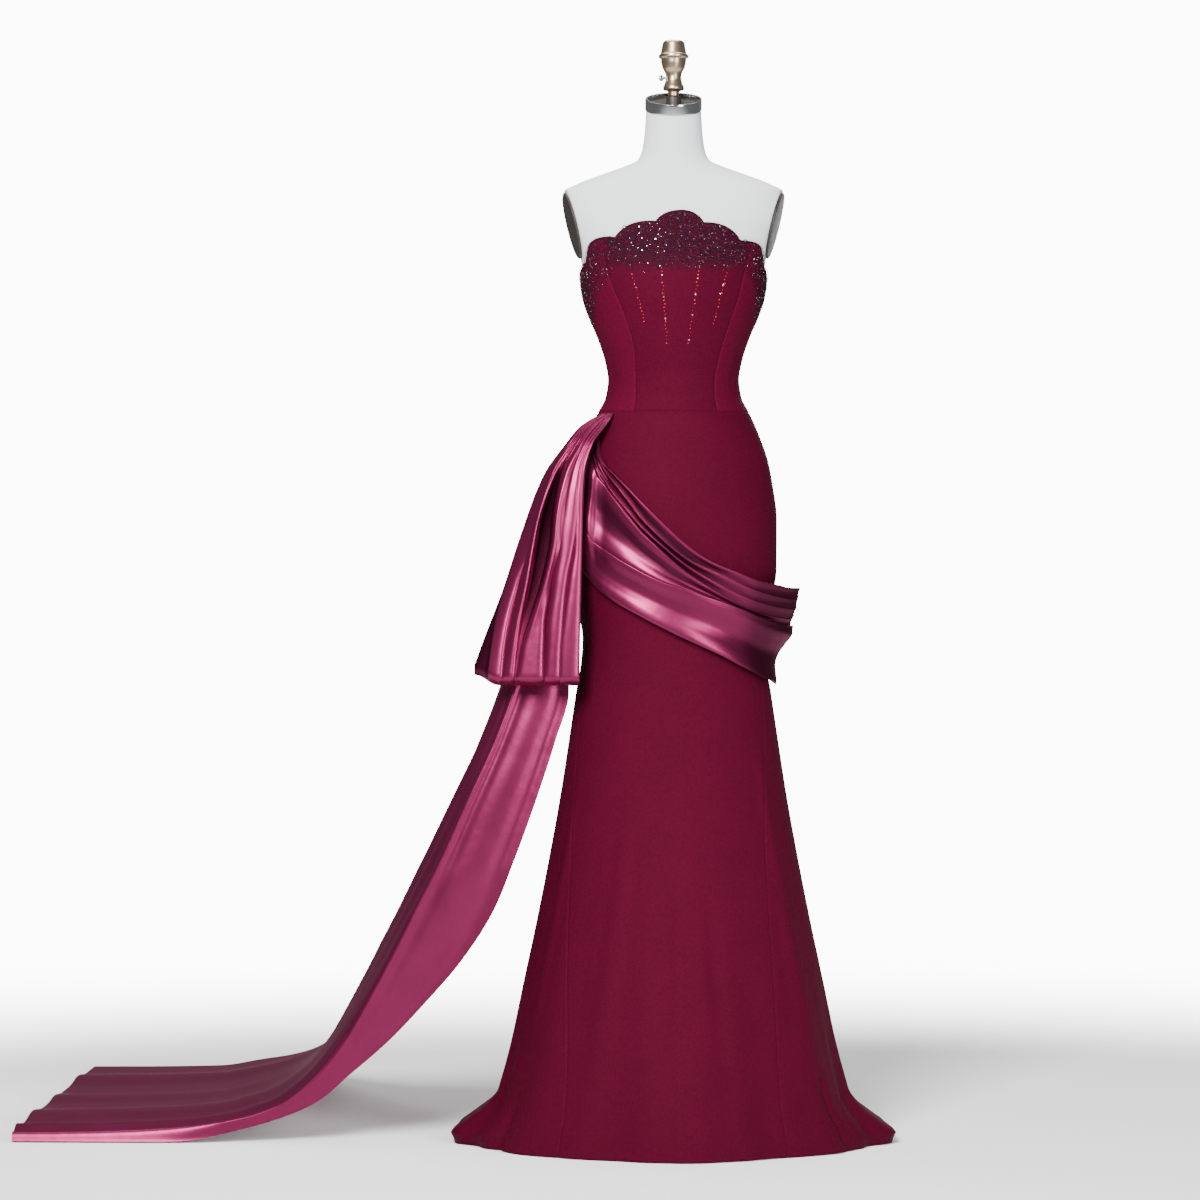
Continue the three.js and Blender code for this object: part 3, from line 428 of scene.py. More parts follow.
FIGURE = table(
    "z half front back round",
    (1.655, 0.044, 0.042, 0.042, 2),
    (1.62, 0.046, 0.043, 0.043, 2),
    (1.59, 0.05, 0.045, 0.048, 2),
    (1.572, 0.058, 0.046, 0.053, 2),
    (1.562, 0.08, 0.048, 0.056, 2),
    (1.55, 0.113, 0.054, 0.06, 2.1),
    (1.536, 0.15, 0.063, 0.066, 2.2),
    (1.52, 0.178, 0.071, 0.072, 2.3),
    (1.49, 0.181, 0.082, 0.079, 2.3),
    (1.45, 0.164, 0.091, 0.084, 2.2),
    (1.413, 0.149, 0.101, 0.085, 2.1),
    (1.381, 0.146, 0.108, 0.084, 2),
    (1.349, 0.1405, 0.107, 0.082, 2),
    (1.317, 0.1295, 0.101, 0.08, 2),
    (1.285, 0.1165, 0.094, 0.077, 2),
    (1.253, 0.106, 0.088, 0.074, 2),
    (1.221, 0.1005, 0.083, 0.071, 2),
    (1.193, 0.1045, 0.082, 0.072, 2),
    (1.168, 0.117, 0.086, 0.078, 2),
    (1.125, 0.1355, 0.094, 0.095, 2),
    (1.093, 0.1465, 0.099, 0.106, 2),
    (1.061, 0.153, 0.103, 0.114, 2),
    (0.997, 0.161, 0.108, 0.124, 2),
    (0.917, 0.1605, 0.11, 0.126, 2),
    (0.86, 0.15, 0.108, 0.12, 2),
    (0.805, 0.141, 0.105, 0.114, 2),
    (0.765, 0.144, 0.106, 0.116, 2),
    (0.725, 0.151, 0.109, 0.123, 2),
    (0.645, 0.163, 0.117, 0.142, 2),
    (0.549, 0.178, 0.129, 0.17, 1.95),
    (0.453, 0.1955, 0.145, 0.203, 1.9),
    (0.357, 0.2145, 0.164, 0.238, 1.85),
    (0.261, 0.235, 0.185, 0.274, 1.8),
    (0.165, 0.255, 0.206, 0.31, 1.76),
    (0.101, 0.272, 0.22, 0.335, 1.73),
    (0.069, 0.282, 0.227, 0.347, 1.71),
    (0.037, 0.298, 0.233, 0.358, 1.7),
    (0, 0.312, 0.238, 0.366, 1.7),
)
FLUTES = table(
    "angle width depth top",
    (-158, 14, 0.02, 0.7),
    (-128, 13, 0.016, 0.64),
    (-112, 11, 0.013, 0.3),
    (-78, 9, -0.013, 0.23),
    (-52, 14, 0.009, 0.62),
    (-22, 13, -0.006, 0.56),
    (8, 13, 0.005, 0.64),
    (34, 12, -0.007, 0.52),
    (56, 13, 0.009, 0.6),
    (77, 9, -0.014, 0.3),
    (112, 11, 0.013, 0.31),
    (131, 14, 0.017, 0.65),
    (163, 13, 0.019, 0.69),
)
PRINCESS = table(
    "z left right",
    (1.49, -47, 50),
    (1.42, -46, 50),
    (1.385, -44, 47),
    (1.32, -36, 43),
    (1.27, -34, 41),
    (1.22, -36, 38),
    (1.168, -32, 34.5),
)
SKIRT_SEAM = table(
    "z left right",
    (1.168, -86, 86),
    (0.997, -80, 80),
    (0.725, -71, 64),
    (0.485, -57, 48),
    (0.165, -43, 41),
    (0, -39, 38),
)
NECKLINE = table(
    "angle z rise skew",
    (-90, 1.388, 0.001, 1),
    (-68, 1.406, 0.016, 0.78),
    (-33, 1.442, 0.009, 0.95),
    (-7.6, 1.467, 0.0195, 1),
    (12.8, 1.465, 0.0085, 1.05),
    (38, 1.438, 0.015, 1.3),
    (73.5, 1.4, 0.002, 1),
    (90, 1.38, 0, 1),
)
BAND = table(
    "angle proud",
    (-74, 0),
    (-57, 0.001),
    (-40, 0.001),
    (-24, 0.001),
    (-8, 0.002),
    (8, 0.003),
    (27, 0.005),
    (48, 0.011),
    (70, 0.023),
    (92, 0.037),
    (115, 0.028),
    (145, 0.012),
    (180, 0.005),
    (215, 0.003),
    (250, 0.002),
    (282, 0),
)
LOOP = table(
    "z right left rightY leftY apart",
    (1.164, -0.0955, -0.1145, -0.066, -0.045, 0.005),
    (1.146, -0.107, -0.146, -0.079, -0.055, 0.008),
    (1.115, -0.129, -0.172, -0.092, -0.066, 0.013),
    (1.067, -0.141, -0.206, -0.1, -0.066, 0.019),
    (0.974, -0.145, -0.242, -0.11, -0.07, 0.029),
    (0.883, -0.147, -0.272, -0.116, -0.076, 0.036),
    (0.805, -0.149, -0.302, -0.118, -0.08, 0.038),
    (0.75, -0.15, -0.322, -0.118, -0.082, 0.036),
)
# The loop's creases: their places across it, from 0 at its right edge to 1 at its left. The slit lies
# between `lip` and `slit`, and the back flap shows past `flap`.
LOOP_LINES = table(
    "z flap broad lip slit dark rolled",
    (1.164, 0.93, 0.8, 0.64, 0.54, 0.36, 0.18),
    (1.115, 0.93, 0.8, 0.66, 0.56, 0.36, 0.17),
    (1.078, 0.95, 0.8, 0.67, 0.62, 0.36, 0.16),
    (1.04, 0.97, 0.79, 0.69, 0.6, 0.36, 0.13),
    (1, 0.985, 0.79, 0.705, 0.57, 0.34, 0.11),
    (0.955, 0.985, 0.81, 0.68, 0.52, 0.34, 0.12),
    (0.9, 0.975, 0.82, 0.655, 0.54, 0.385, 0.175),
    (0.85, 0.955, 0.8, 0.645, 0.575, 0.385, 0.19),
    (0.8, 0.9, 0.757, 0.622, 0.6, 0.353, 0.19),
    (0.75, 0.84, 0.71, 0.59, 0.582, 0.323, 0.177),
)
# How deep the creases go, in metres; `gather` is the ruffle of the cloth under the top.
LOOP_DEPTHS = table(
    "z flap broad slit dark rolled gather",
    (1.164, 0, 0.001, 0.001, 0.002, 0.002, 0.0008),
    (1.13, 0, 0.002, 0.002, 0.003, 0.003, 0.0018),
    (1.09, 0, 0.0015, 0.007, 0.003, 0.002, 0.0012),
    (1.04, 0, 0.0005, 0.019, 0.002, 0.001, 0.0003),
    (0.98, 0, 0, 0.026, 0.001, 0.002, 0),
    (0.94, 0, 0.0015, 0.026, 0.003, 0.004, 0),
    (0.89, 0.004, 0.006, 0.021, 0.007, 0.005, 0),
    (0.85, 0.01, 0.007, 0.013, 0.008, 0.004, 0),
    (0.8, 0.012, 0.006, 0.006, 0.007, 0.003, 0),
    (0.75, 0.012, 0.004, 0.004, 0.005, 0.003, 0),
)
# The train's near edge, e, its ridge, r, and its far edge, b, from under the loop to its end on the floor.
TRAIN = table(
    "ex ey ez rx ry rz bx by bz",
    (-0.121, -0.029, 1.158, -0.1245, -0.021, 1.158, -0.1276, -0.01, 1.158),
    (-0.154, -0.037, 1.085, -0.162, -0.024, 1.085, -0.168, -0.005, 1.085),
    (-0.168, -0.042, 0.9899, -0.187, -0.029, 0.99, -0.2, 0.008, 0.99),
    (-0.171, -0.048, 0.89, -0.208, -0.038, 0.89, -0.229, 0.014, 0.89),
    (-0.1669, -0.05, 0.8002, -0.234, -0.041, 0.8, -0.256, 0.034, 0.8),
    (-0.1668, -0.051, 0.7257, -0.258, -0.042, 0.725, -0.281, 0.065, 0.722),
    (-0.1884, -0.054, 0.6469, -0.288, -0.046, 0.645, -0.313, 0.11, 0.641),
    (-0.2188, -0.057, 0.5538, -0.331, -0.05, 0.552, -0.358, 0.18, 0.54),
    (-0.2539, -0.058, 0.4573, -0.375, -0.05, 0.456, -0.408, 0.27, 0.436),
    (-0.286, -0.054, 0.3787, -0.408, -0.045, 0.392, -0.441, 0.35, 0.363),
    (-0.3361, -0.044, 0.3, -0.456, -0.035, 0.297, -0.502, 0.5, 0.249),
    (-0.3955, -0.033, 0.2304, -0.491, -0.025, 0.232, -0.548, 0.64, 0.166),
    (-0.4564, -0.022, 0.1665, -0.53, -0.015, 0.166, -0.607, 0.83, 0.075),
    (-0.5158, -0.012, 0.1149, -0.575, -0.01, 0.108, -0.672, 0.94, 0.04),
    (-0.5769, -0.004, 0.0654, -0.632, -0.004, 0.062, -0.745, 1, 0.022),
    (-0.6893, 0, 0.025, -0.706, 0, 0.038, -0.815, 1.03, 0.008),
    (-0.8, -0.002, 0.005, -0.803, 0.006, 0.025, -0.88, 1.042, 0.005),
    (-0.93, 0.001, 0.004, -0.932, 0.01, 0.019, -0.97, 1.044, 0.004),
    (-1.06, 0.006, 0.004, -1.06, 0.014, 0.017, -1.056, 1.044, 0.004),
)
FINIAL = table(
    "r z",
    (0.009, 1.673),
    (0.009, 1.682),
    (0.017, 1.684),
    (0.017, 1.688),
    (0.0145, 1.694),
    (0.0126, 1.7),
    (0.0124, 1.706),
    (0.014, 1.712),
    (0.0175, 1.718),
    (0.02, 1.727),
    (0.0205, 1.734),
    (0.024, 1.7355),
    (0.024, 1.74),
    (0.021, 1.7415),
    (0.0175, 1.76),
    (0.014, 1.763),
)

# The drape's fold lines in front, as places read off the photo, in pixels across and down it. The
# upper edge of the cloth is `edge`, narrow pleats fan out below it at `first`, `second` and `third`,
# `middle` is the lap of the broad lower layer over the broad upper one, and `hem` is the lower edge.
PHOTO_SIDE = 1200
DRAPE_PLACES = {
    "edge": (
        (597, 437), (598, 450), (601, 458), (605, 465), (612, 472), (620, 480), (630, 490), (640, 501),
        (650, 511), (660, 521), (670, 530.5), (680, 540), (690, 548.5), (700, 556.5), (710, 562),
        (720, 567), (730, 570), (740, 574), (750, 578), (760, 581.5), (775, 584.5), (790, 588),
    ),
    "first": (
        (594.5, 440), (595, 447), (598, 455), (602, 463), (605, 469), (610, 476), (615, 482), (620, 489),
        (625, 496), (630, 502), (635, 509), (640, 516), (645, 521.5), (650, 527), (655, 532), (660, 537),
        (670, 546), (680, 554), (690, 561), (700, 566), (710, 571), (720, 575), (730, 580), (740, 584),
        (750, 588.5), (760, 592), (775, 596), (790, 599),
    ),
    "second": (
        (592, 445), (593, 452), (596, 462), (600, 471), (605, 479), (610, 487), (615, 494), (620, 500.5),
        (625, 507), (630, 513), (635, 519), (640, 525), (645, 530), (650, 535), (655, 540), (660, 544),
        (670, 552.5), (680, 561), (690, 568), (700, 574.5), (710, 580.5), (720, 586), (730, 591),
        (740, 595), (750, 599), (760, 602.5), (775, 606.5), (790, 609),
    ),
    "third": (
        (588, 452), (590, 460), (594, 469), (597, 477), (600, 480), (605, 486), (610, 493), (615, 500),
        (620, 506), (625, 512), (630, 519), (635, 525), (640, 531), (645, 536), (650, 541), (655, 545.5),
        (660, 550), (670, 560), (680, 568), (690, 576), (700, 583), (710, 589), (720, 595), (730, 601),
        (740, 606), (750, 610), (760, 613.5), (775, 617), (788, 619),
    ),
    "middle": (
        (575, 524), (585, 533), (590, 538), (595, 543), (600, 547), (605, 550), (610, 553.5), (615, 557),
        (620, 560), (635, 569), (650, 577), (660, 582), (670, 585.5), (680, 588.5), (690, 592),
        (700, 595.5), (710, 599), (720, 602.5), (730, 606), (740, 610), (750, 614.5), (760, 618.5),
        (770, 622), (785, 626.5),
    ),
    "hem": (
        (572.5, 558), (585, 575), (601.7, 591.7), (615, 601.7), (635, 613), (653, 623), (676.7, 635),
        (698, 645), (718, 654), (743, 666.7), (760, 674), (771, 679),
    ),
}
DRAPE_FACE = 0.0114  # the drape's face where those lines run, out from the figure, apart from `proud`
DRAPE_SEARCH = (-85, 95, 721)  # the angles among which a place in the photo is found, and how many
DRAPE_ANGLES = (
    -74, -66, -60, -55, -51, -47, -43, -38, -32, -25, -18, -12, -5, 1,
    8, 16, 22, 27, 33, 40, 48, 56, 64, 72, 80,
)
# The pleats run up as they go in under the loop: past which angle, from where, and how far in a degree.
DRAPE_TUCK = {"from": -60, "level": -56, "up": 0.001}
DRAPE_RIGHT_HEM = {72: 0.7425, 80: 0.738}  # where the drape turns away and its hem can't be read
# The same lines round the back, as heights at angles, which the photo doesn't show.
DRAPE_BACK = table(
    "angle edge first second third middle hem",
    (92, 0.888, 0.876, 0.859, 0.845, 0.827, 0.734),
    (115, 0.889, 0.880, 0.864, 0.850, 0.832, 0.746),
    (145, 0.902, 0.892, 0.878, 0.862, 0.845, 0.766),
    (180, 0.940, 0.928, 0.914, 0.897, 0.872, 0.791),
    (215, 0.992, 0.978, 0.962, 0.944, 0.914, 0.828),
    (250, 1.056, 1.042, 1.024, 1.005, 0.966, 0.873),
    (282, 1.106, 1.092, 1.076, 1.058, 1.018, 0.907),
)


# ---- curves and surfaces -------------------------------------------------------------------------
def curve(rows, key, at, by="z"):
    """A smooth curve through a table's column, without overshoot."""
    order = np.argsort(rows[by])
    x, y = rows[by][order], rows[key][order]
    slope = np.diff(y) / np.diff(x)
    before, after = slope[:-1], slope[1:]
    total = np.where(before + after == 0, 1, before + after)
    bend = np.where(before * after > 0, 2 * before * after / total, 0)
    tangent = np.concatenate([slope[:1], bend, slope[-1:]])
    at = np.clip(at, x[0], x[-1])
    i = np.clip(np.searchsorted(x, at, side="right") - 1, 0, len(x) - 2)
    step = x[i + 1] - x[i]
    t = (at - x[i]) / step
    rest = 1 - t
    return (
        y[i] * (1 + 2 * t) * rest**2
        + y[i + 1] * t**2 * (3 - 2 * t)
        + step * (tangent[i] * t * rest**2 - tangent[i + 1] * t**2 * rest)
    )


def lerp(a, b, t):
    return a + (b - a) * t


def smooth(t):
    t = np.clip(t, 0, 1)
    return t * t * (3 - 2 * t)


def bump(t):
    """A soft hump, 1 at 0 and 0 from 1 on either side."""
    return np.cos(np.clip(t, -1, 1) * pi / 2) ** 2


def wrap(angle):
    return (angle + 180) % 360 - 180


def flare(angle, z):
    """How far the skirt's flutes and the hem's kick stand out from the plain figure."""
    out = np.zeros(np.broadcast(angle, z).shape)
    for flute in rows_of(FLUTES):
        grown = np.clip((flute["top"] - z) / flute["top"], 0, 1) ** FLUTE_GROWTH
        out += flute["depth"] * grown * bump(wrap(angle - flute["angle"]) / flute["width"])
    kick = HEM_KICK
    behind = smooth((np.abs(wrap(angle)) - kick["start"]) / (kick["end"] - kick["start"]))
    down = np.clip(1 - z / kick["top"], 0, 1)
    grown = np.minimum(down / kick["full"], 1) ** kick["power"]
    under = kick["curl"] * smooth((down - kick["curl_from"]) / (1 - kick["curl_from"]))
    return out + kick["out"] * behind * (grown - under)


def figure(angle, z, off=0.0):
    """Points of the figure, or of the gown that hangs from it, moved out by `off`."""
    angle, z, off = np.broadcast_arrays(angle, z, off)
    out = off + flare(angle, z)
    s, c = np.sin(np.radians(angle)), np.cos(np.radians(angle))
    in_front = c > 0
    power = np.where(in_front, 2 / curve(FIGURE, "round", z), 1)
    depth = np.where(in_front, -curve(FIGURE, "front", z) - out, curve(FIGURE, "back", z) + out)
    half = curve(FIGURE, "half", z) + out
    return np.stack([half * np.sign(s) * np.abs(s) ** power, depth * np.abs(c) ** power, z], axis=-1)


def per_degree(angle, z):
    """Metres of cloth to a degree, round the figure at a height."""
    return np.linalg.norm(figure(angle + 0.5, z) - figure(angle - 0.5, z), axis=-1)


def neckline(angle):
    """The bodice's top edge: scallops over the bust, then a plain edge round the back."""
    a = wrap(np.asarray(angle, float))
    i = np.clip(np.searchsorted(NECKLINE["angle"], a, side="right") - 1, 0, len(NECKLINE["z"]) - 2)
    start, end = NECKLINE["angle"][i], NECKLINE["angle"][i + 1]
    t = np.clip((a - start) / (end - start), 0, 1)
    bulge = NECKLINE["rise"][i] * np.sin(pi * t ** NECKLINE["skew"][i]) ** SCALLOP_ROUND
    front = lerp(NECKLINE["z"][i], NECKLINE["z"][i + 1], t) + bulge
    behind = smooth((np.abs(a) - SIDE_SEAM) / BACK_NECK["span"])
    back = lerp(BACK_NECK["side"], BACK_NECK["centre"], behind)
    return np.where(np.abs(a) >= SIDE_SEAM, back, front)


def normals(points):
    """A grid of points' unit normals."""
    across = np.gradient(points, axis=1)
    along = np.gradient(points, axis=0)
    n = np.cross(across, along)
    return n / np.maximum(np.linalg.norm(n, axis=-1, keepdims=True), 1e-12)


def facing(points, spot, way):
    """A grid of points' unit normals, turned so that the one at a spot goes along `way`."""
    n = normals(points)
    return n * np.sign(np.dot(n[spot], way))


def along_grid(points, axis):
    """How far along the cloth each point of a grid is, in metres."""
    gaps = np.linalg.norm(np.diff(points, axis=axis), axis=-1)
    start = np.zeros_like(np.take(gaps, [0], axis=axis))
    return np.cumsum(np.concatenate([start, gaps], axis=axis), axis=axis)


def spaced(low, high, step, edge=()):
    """Places from low to high about a step apart, with closer ones given for both edges."""
    start, end = low + np.array([0, *edge]), high - np.array([*edge[::-1], 0])
    if edge:
        inner = np.linspace(start[-1], end[0], max(2, int((end[0] - start[-1]) / step) + 1))[1:-1]
        return np.concatenate([start, inner, end])
    return np.linspace(low, high, max(2, int((high - low) / step) + 1))


# ---- meshes --------------------------------------------------------------------------------------
def link(name, mesh):
    obj = bpy.data.objects.new(name, mesh)
    bpy.context.scene.collection.objects.link(obj)
    return obj


def shade_smooth(mesh, sharp):
    """Shades a mesh smoothly, but for the edges that are sharp past an angle."""
    mesh.polygons.foreach_set("use_smooth", np.ones(len(mesh.polygons), bool))
    mesh.set_sharp_from_angle(angle=radians(sharp))


def mesh_of(name, points, faces, sharp=50):
    mesh = bpy.data.meshes.new(name)
    mesh.from_pydata(np.asarray(points).tolist(), [], [tuple(f) for f in np.asarray(faces).tolist()])
    shade_smooth(mesh, sharp)
    mesh.update()
    return mesh


def mesh_from(name, made):
    """A mesh from a bmesh, which is freed."""
    mesh = bpy.data.meshes.new(name)
    made.to_mesh(mesh)
    made.free()
    return mesh


def give_values(mesh, name, values):
    """Gives a mesh's points a value each under a name, and 0 to those past the last value."""
    all_values = np.zeros(len(mesh.vertices), np.float32)
    all_values[: values.size] = values.ravel()
    mesh.attributes.new(name, "FLOAT", "POINT").data.foreach_set("value", all_values)


def grid_faces(m, n, first=0):
    i, j = np.meshgrid(np.arange(m - 1), np.arange(n - 1), indexing="ij")
    a = first + (i * n + j).ravel()
    return np.stack([a, a + 1, a + n + 1, a + n], axis=1)


def wall(name, outer, inner, sharp=50, painted_shade=None):
    """A wall of cloth between two grids of points, closed round its edges, with a UV map in metres.

    Its last argument: how much painted shade each outer point's colour takes, from 0 to 1.
    """
    m, n = outer.shape[:2]
    count = m * n
    faces = [grid_faces(m, n), grid_faces(m, n, count)[:, ::-1]]
    index = np.arange(count).reshape(m, n)
    for line, turned in ((index[0], True), (index[-1], False), (index[:, 0], False), (index[:, -1], True)):
        rim = np.stack([line[:-1], line[1:], line[1:] + count, line[:-1] + count], axis=1)
        faces.append(rim if turned else rim[:, ::-1])
    points = np.concatenate([outer.reshape(-1, 3), inner.reshape(-1, 3)])
    faces = np.concatenate(faces)
    middle = outer[m // 2, n // 2] - inner[m // 2, n // 2]
    if np.dot(normals(outer)[m // 2, n // 2], middle) < 0:
        faces = faces[:, ::-1]
    mesh = mesh_of(name, points, faces, sharp)
    uv = np.stack([along_grid(outer, 1), along_grid(outer, 0)], axis=-1).reshape(-1, 2)
    corners = np.zeros(len(mesh.loops), int)
    mesh.loops.foreach_get("vertex_index", corners)
    layer = mesh.uv_layers.new(name="Cloth")
    layer.data.foreach_set("uv", np.concatenate([uv, uv])[corners].astype(np.float32).ravel())
    # painted shade for the satin's colour, kept as a value on each point
    if painted_shade is not None:
        give_values(mesh, "painted_shade", painted_shade)
    return link(name, mesh)


def lathe(name, profile, matrix, segments, sharp=40):
    """A turned solid round +Z from a profile of radii and heights, moved by a matrix."""
    made = bmesh.new()
    ring = [made.verts.new((r, 0, z)) for r, z in profile]
    for a, b in zip(ring, ring[1:]):
        made.edges.new((a, b))
    bmesh.ops.spin(
        made, geom=made.verts[:] + made.edges[:], axis=(0, 0, 1), cent=(0, 0, 0), angle=2 * pi, steps=segments
    )
    bmesh.ops.remove_doubles(made, verts=made.verts[:], dist=1e-6)
    bmesh.ops.recalc_face_normals(made, faces=made.faces[:])
    mesh = mesh_from(name, made)
    mesh.transform(matrix)
    shade_smooth(mesh, sharp)
    return link(name, mesh)


def rounded(profile, radius, steps=4):
    """A profile whose corners are rounded, each by at most a third of its shorter side."""
    points = [np.array(p, float) for p in profile]
    made = [points[0]]
    for before, at, after in zip(points, points[1:], points[2:]):
        back, on = before - at, after - at
        reach = min(radius, np.linalg.norm(back) / 3, np.linalg.norm(on) / 3)
        start = at + back / np.linalg.norm(back) * reach
        end = at + on / np.linalg.norm(on) * reach
        for t in np.linspace(0, 1, steps + 1):
            made.append((1 - t) ** 2 * start + 2 * t * (1 - t) * at + t * t * end)
    return made + [points[-1]]


def finish_with(obj, finish):
    obj.data.materials.clear()
    obj.data.materials.append(finish)
    return obj


def declare(obj, replaced=(), body="gown"):
    """The piece rides on its body and stands for its plain solids."""
    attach(obj, body)
    if replaced:
        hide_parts(*replaced)
    return obj


def declare_cloth(obj):
    """Reads a wall of cloth's UV map in metres, and does nothing more with it."""
    mesh = obj.data
    uv = np.zeros(len(mesh.loops) * 2, np.float32)
    mesh.uv_layers["Cloth"].data.foreach_get("uv", uv)


# ---- the dress form ------------------------------------------------------------------------------
def neck_plane():
    """The plane of the neck's cut, with its +Z pointing out."""
    tilt = Matrix.Rotation(radians(NECK_TOP["tilt"]), 4, "X")
    return Matrix.Translation((0, NECK_TOP["y"], NECK_TOP["z"])) @ tilt


def arm_plane(sign):
    """The plane of an arm plate, with its +Z pointing out."""
    lean, yaw = radians(ARM_PLATE["lean"]), radians(ARM_PLATE["yaw"])
    out = Vector((sign * cos(yaw) * cos(lean), -sin(yaw), -sin(lean))).normalized()
    across = Vector((0, 0, 1)).cross(out).normalized()
    turned = Matrix((across, out.cross(across), out)).transposed().to_4x4()
    return Matrix.Translation((sign * ARM_PLATE["x"], 0, ARM_PLATE["z"])) @ turned


def cut_and_cap(made, plane):
    """Takes away what lies past a plane and closes the cut."""
    spot, out = plane.translation, plane.to_3x3() @ Vector((0, 0, 1))
    geom = made.verts[:] + made.edges[:] + made.faces[:]
    bmesh.ops.bisect_plane(made, geom=geom, plane_co=spot, plane_no=out, clear_outer=True)
    on_plane = {v for v in made.verts if abs((v.co - spot).dot(out)) < 1e-5}
    rim = [e for e in made.edges if e.is_boundary and on_plane.issuperset(e.verts)]
    bmesh.ops.contextual_create(made, geom=rim)


def torso_mesh():
    heights = np.concatenate([spaced(*rings) for rings in TORSO_RINGS])
    angles = np.arange(0, 360, TORSO_TURN)
    lean = NECK_TOP["y"] * smooth((heights - NECK_LEAN_FROM) / (NECK_TOP["z"] - NECK_LEAN_FROM))
    rings = figure(angles[None], heights[:, None])
    rings[..., 1] += lean[:, None]
    roll = [figure(angles, TORSO_BOTTOM + up, off) for off, up in TORSO_ROLL]
    rings = np.concatenate([roll, rings])
    made = bmesh.new()
    rows = [[made.verts.new(p) for p in ring] for ring in rings]
    for below, above in zip(rows, rows[1:]):
        for j, corner in enumerate(below):
            k = (j + 1) % len(below)
            made.faces.new((corner, below[k], above[k], above[j]))
    made.faces.new(rows[0][::-1])
    made.faces.new(rows[-1])
    for plane in (neck_plane(), arm_plane(-1), arm_plane(1)):
        cut_and_cap(made, plane)
    bmesh.ops.recalc_face_normals(made, faces=made.faces[:])
    mesh = mesh_from("form_cover", made)
    shade_smooth(mesh, sharp=38)
    return mesh


def fitting(name, profile, matrix, finishes, slot, replaced=(), segments=96):
    """A turned part of the form in its slot's finish, which stands for its plain solids."""
    turned = lathe(name, profile, matrix, segments)
    declare(finish_with(turned, finishes[slot]), replaced)


def build_neck(finishes):
    """The neck's ring and cap, and the boss, finial and clamp screw over them."""
    low, high = GAP, GAP + NECK_BAND["high"]
    radius, edge = NECK_BAND["radius"], NECK_BAND["edge"]
    inner, bulge = radius - NECK_BAND["thick"], radius + NECK_BAND["bulge"]
    outside = [(inner, low), (radius, low), (bulge, low + edge), (bulge, high - edge), (radius, high)]
    inside = [(radius, high), (inner, high), (inner, low)]
    ring = rounded(outside, ROUNDING["edge"]) + rounded(inside, ROUNDING["inside"])[1:]
    fitting("neck_ring", ring, neck_plane(), finishes, "chrome", ["form_neck_band"])
    inner -= GAP
    cap = [(0, low), (inner, low), (inner, low + NECK_CAP_HIGH), (0, low + NECK_CAP_HIGH)]
    fitting("neck_cap", rounded(cap, ROUNDING["edge"]), neck_plane(), finishes, "dark_plate")
    seat = Matrix.Translation((0, NECK_TOP["y"], 0))
    wide, low, high = NECK_BOSS["radius"], NECK_TOP["z"] + NECK_BOSS["low"], FINIAL["z"][0] - GAP
    boss = rounded([(0, low), (wide, low), (wide, high), (0, high)], ROUNDING["edge"])
    fitting("neck_boss", boss, seat, finishes, "dark_plate", ["form_neck_plate"], 64)
    turned = [(0, FINIAL["z"][0]), *zip(FINIAL["r"], FINIAL["z"]), (0, FINIAL["z"][-1])]
    knob = rounded(turned, ROUNDING["finial"])
    fitting("finial", knob, seat, finishes, "finial_brass", ["form_finial"])
    screw = rounded([(r, FINIAL_WAIST + z) for r, z in CLAMP_SCREW], ROUNDING["screw"])
    aside = seat @ Matrix.Translation((0, 0, CLAMP_SCREW_Z)) @ Matrix.Rotation(-pi / 2, 4, "Y")
    fitting("clamp_screw", screw, aside, finishes, "chrome", ["form_clamp_screw"], 32)


def build_form(finishes):
    cover = finish_with(link("form_cover", torso_mesh()), finishes["form_cover"])
    declare(cover, ["form_torso"])
    build_neck(finishes)
    thick = ARM_PLATE["thick"]
    face, edge = ARM_PLATE["face"], thick - ARM_PLATE["bevel"]
    disc = rounded([(0, GAP), (1, GAP), (1, edge), (face, thick), (0, thick)], ROUNDING["arm_plate"])
    for side, sign in (("left", -1), ("right", 1)):
        shape = arm_plane(sign) @ Matrix.Diagonal((ARM_PLATE["deep"], ARM_PLATE["high"], 1, 1))
        fitting("arm_plate_" + side, disc, shape, finishes, "dark_plate", ["form_arm_plate_" + side])
    for node, slot in (("stand_base", "base_iron"), ("stand_pole", "chrome")):
        finish_with(frame["nodes"][node], finishes[slot])


# ---- the crepe gown ------------------------------------------------------------------------------
def seam_dip(away):
    """How far a panel's face turns in at `away` metres from a seam."""
    return SEAM["deep"] * (1 - np.clip(away / SEAM["wide"], 0, 1)) ** 2


def across_panel(start, end, z, count):
    """A row's angles between two seam angles, closer together beside the seams."""
    width = (end - start) * per_degree((start + end) / 2, z)
    near = np.array(SEAM_STEPS)[None]
    inner = np.linspace(0, 1, count)[None, 1:-1]
    left = near * np.ones_like(width[:, None])
    middle = lerp(near[:, -1:], width[:, None] - near[:, -1:], inner)
    places = np.concatenate([left, middle, width[:, None] - near[:, ::-1]], axis=1)
    return start[:, None] + (end - start)[:, None] * places / width[:, None], places, width[:, None]


def crepe_folds(angle, z):
    """Soft uneven folds and drag lines in the crepe, as a move outwards."""
    out = np.zeros(np.broadcast(angle, z).shape)
    for fold in rows_of(CREPE_FOLDS):
        share = np.clip((z - fold["low"]) / (fold["high"] - fold["low"]), 0, 1)
        lean = lerp(fold["low_angle"], fold["high_angle"], share)
        length = smooth((z - fold["low"]) / fold["fade"]) * smooth((fold["high"] - z) / fold["fade"])
        out += fold["depth"] * length * bump(wrap(angle - lean) / fold["width"])
    return out


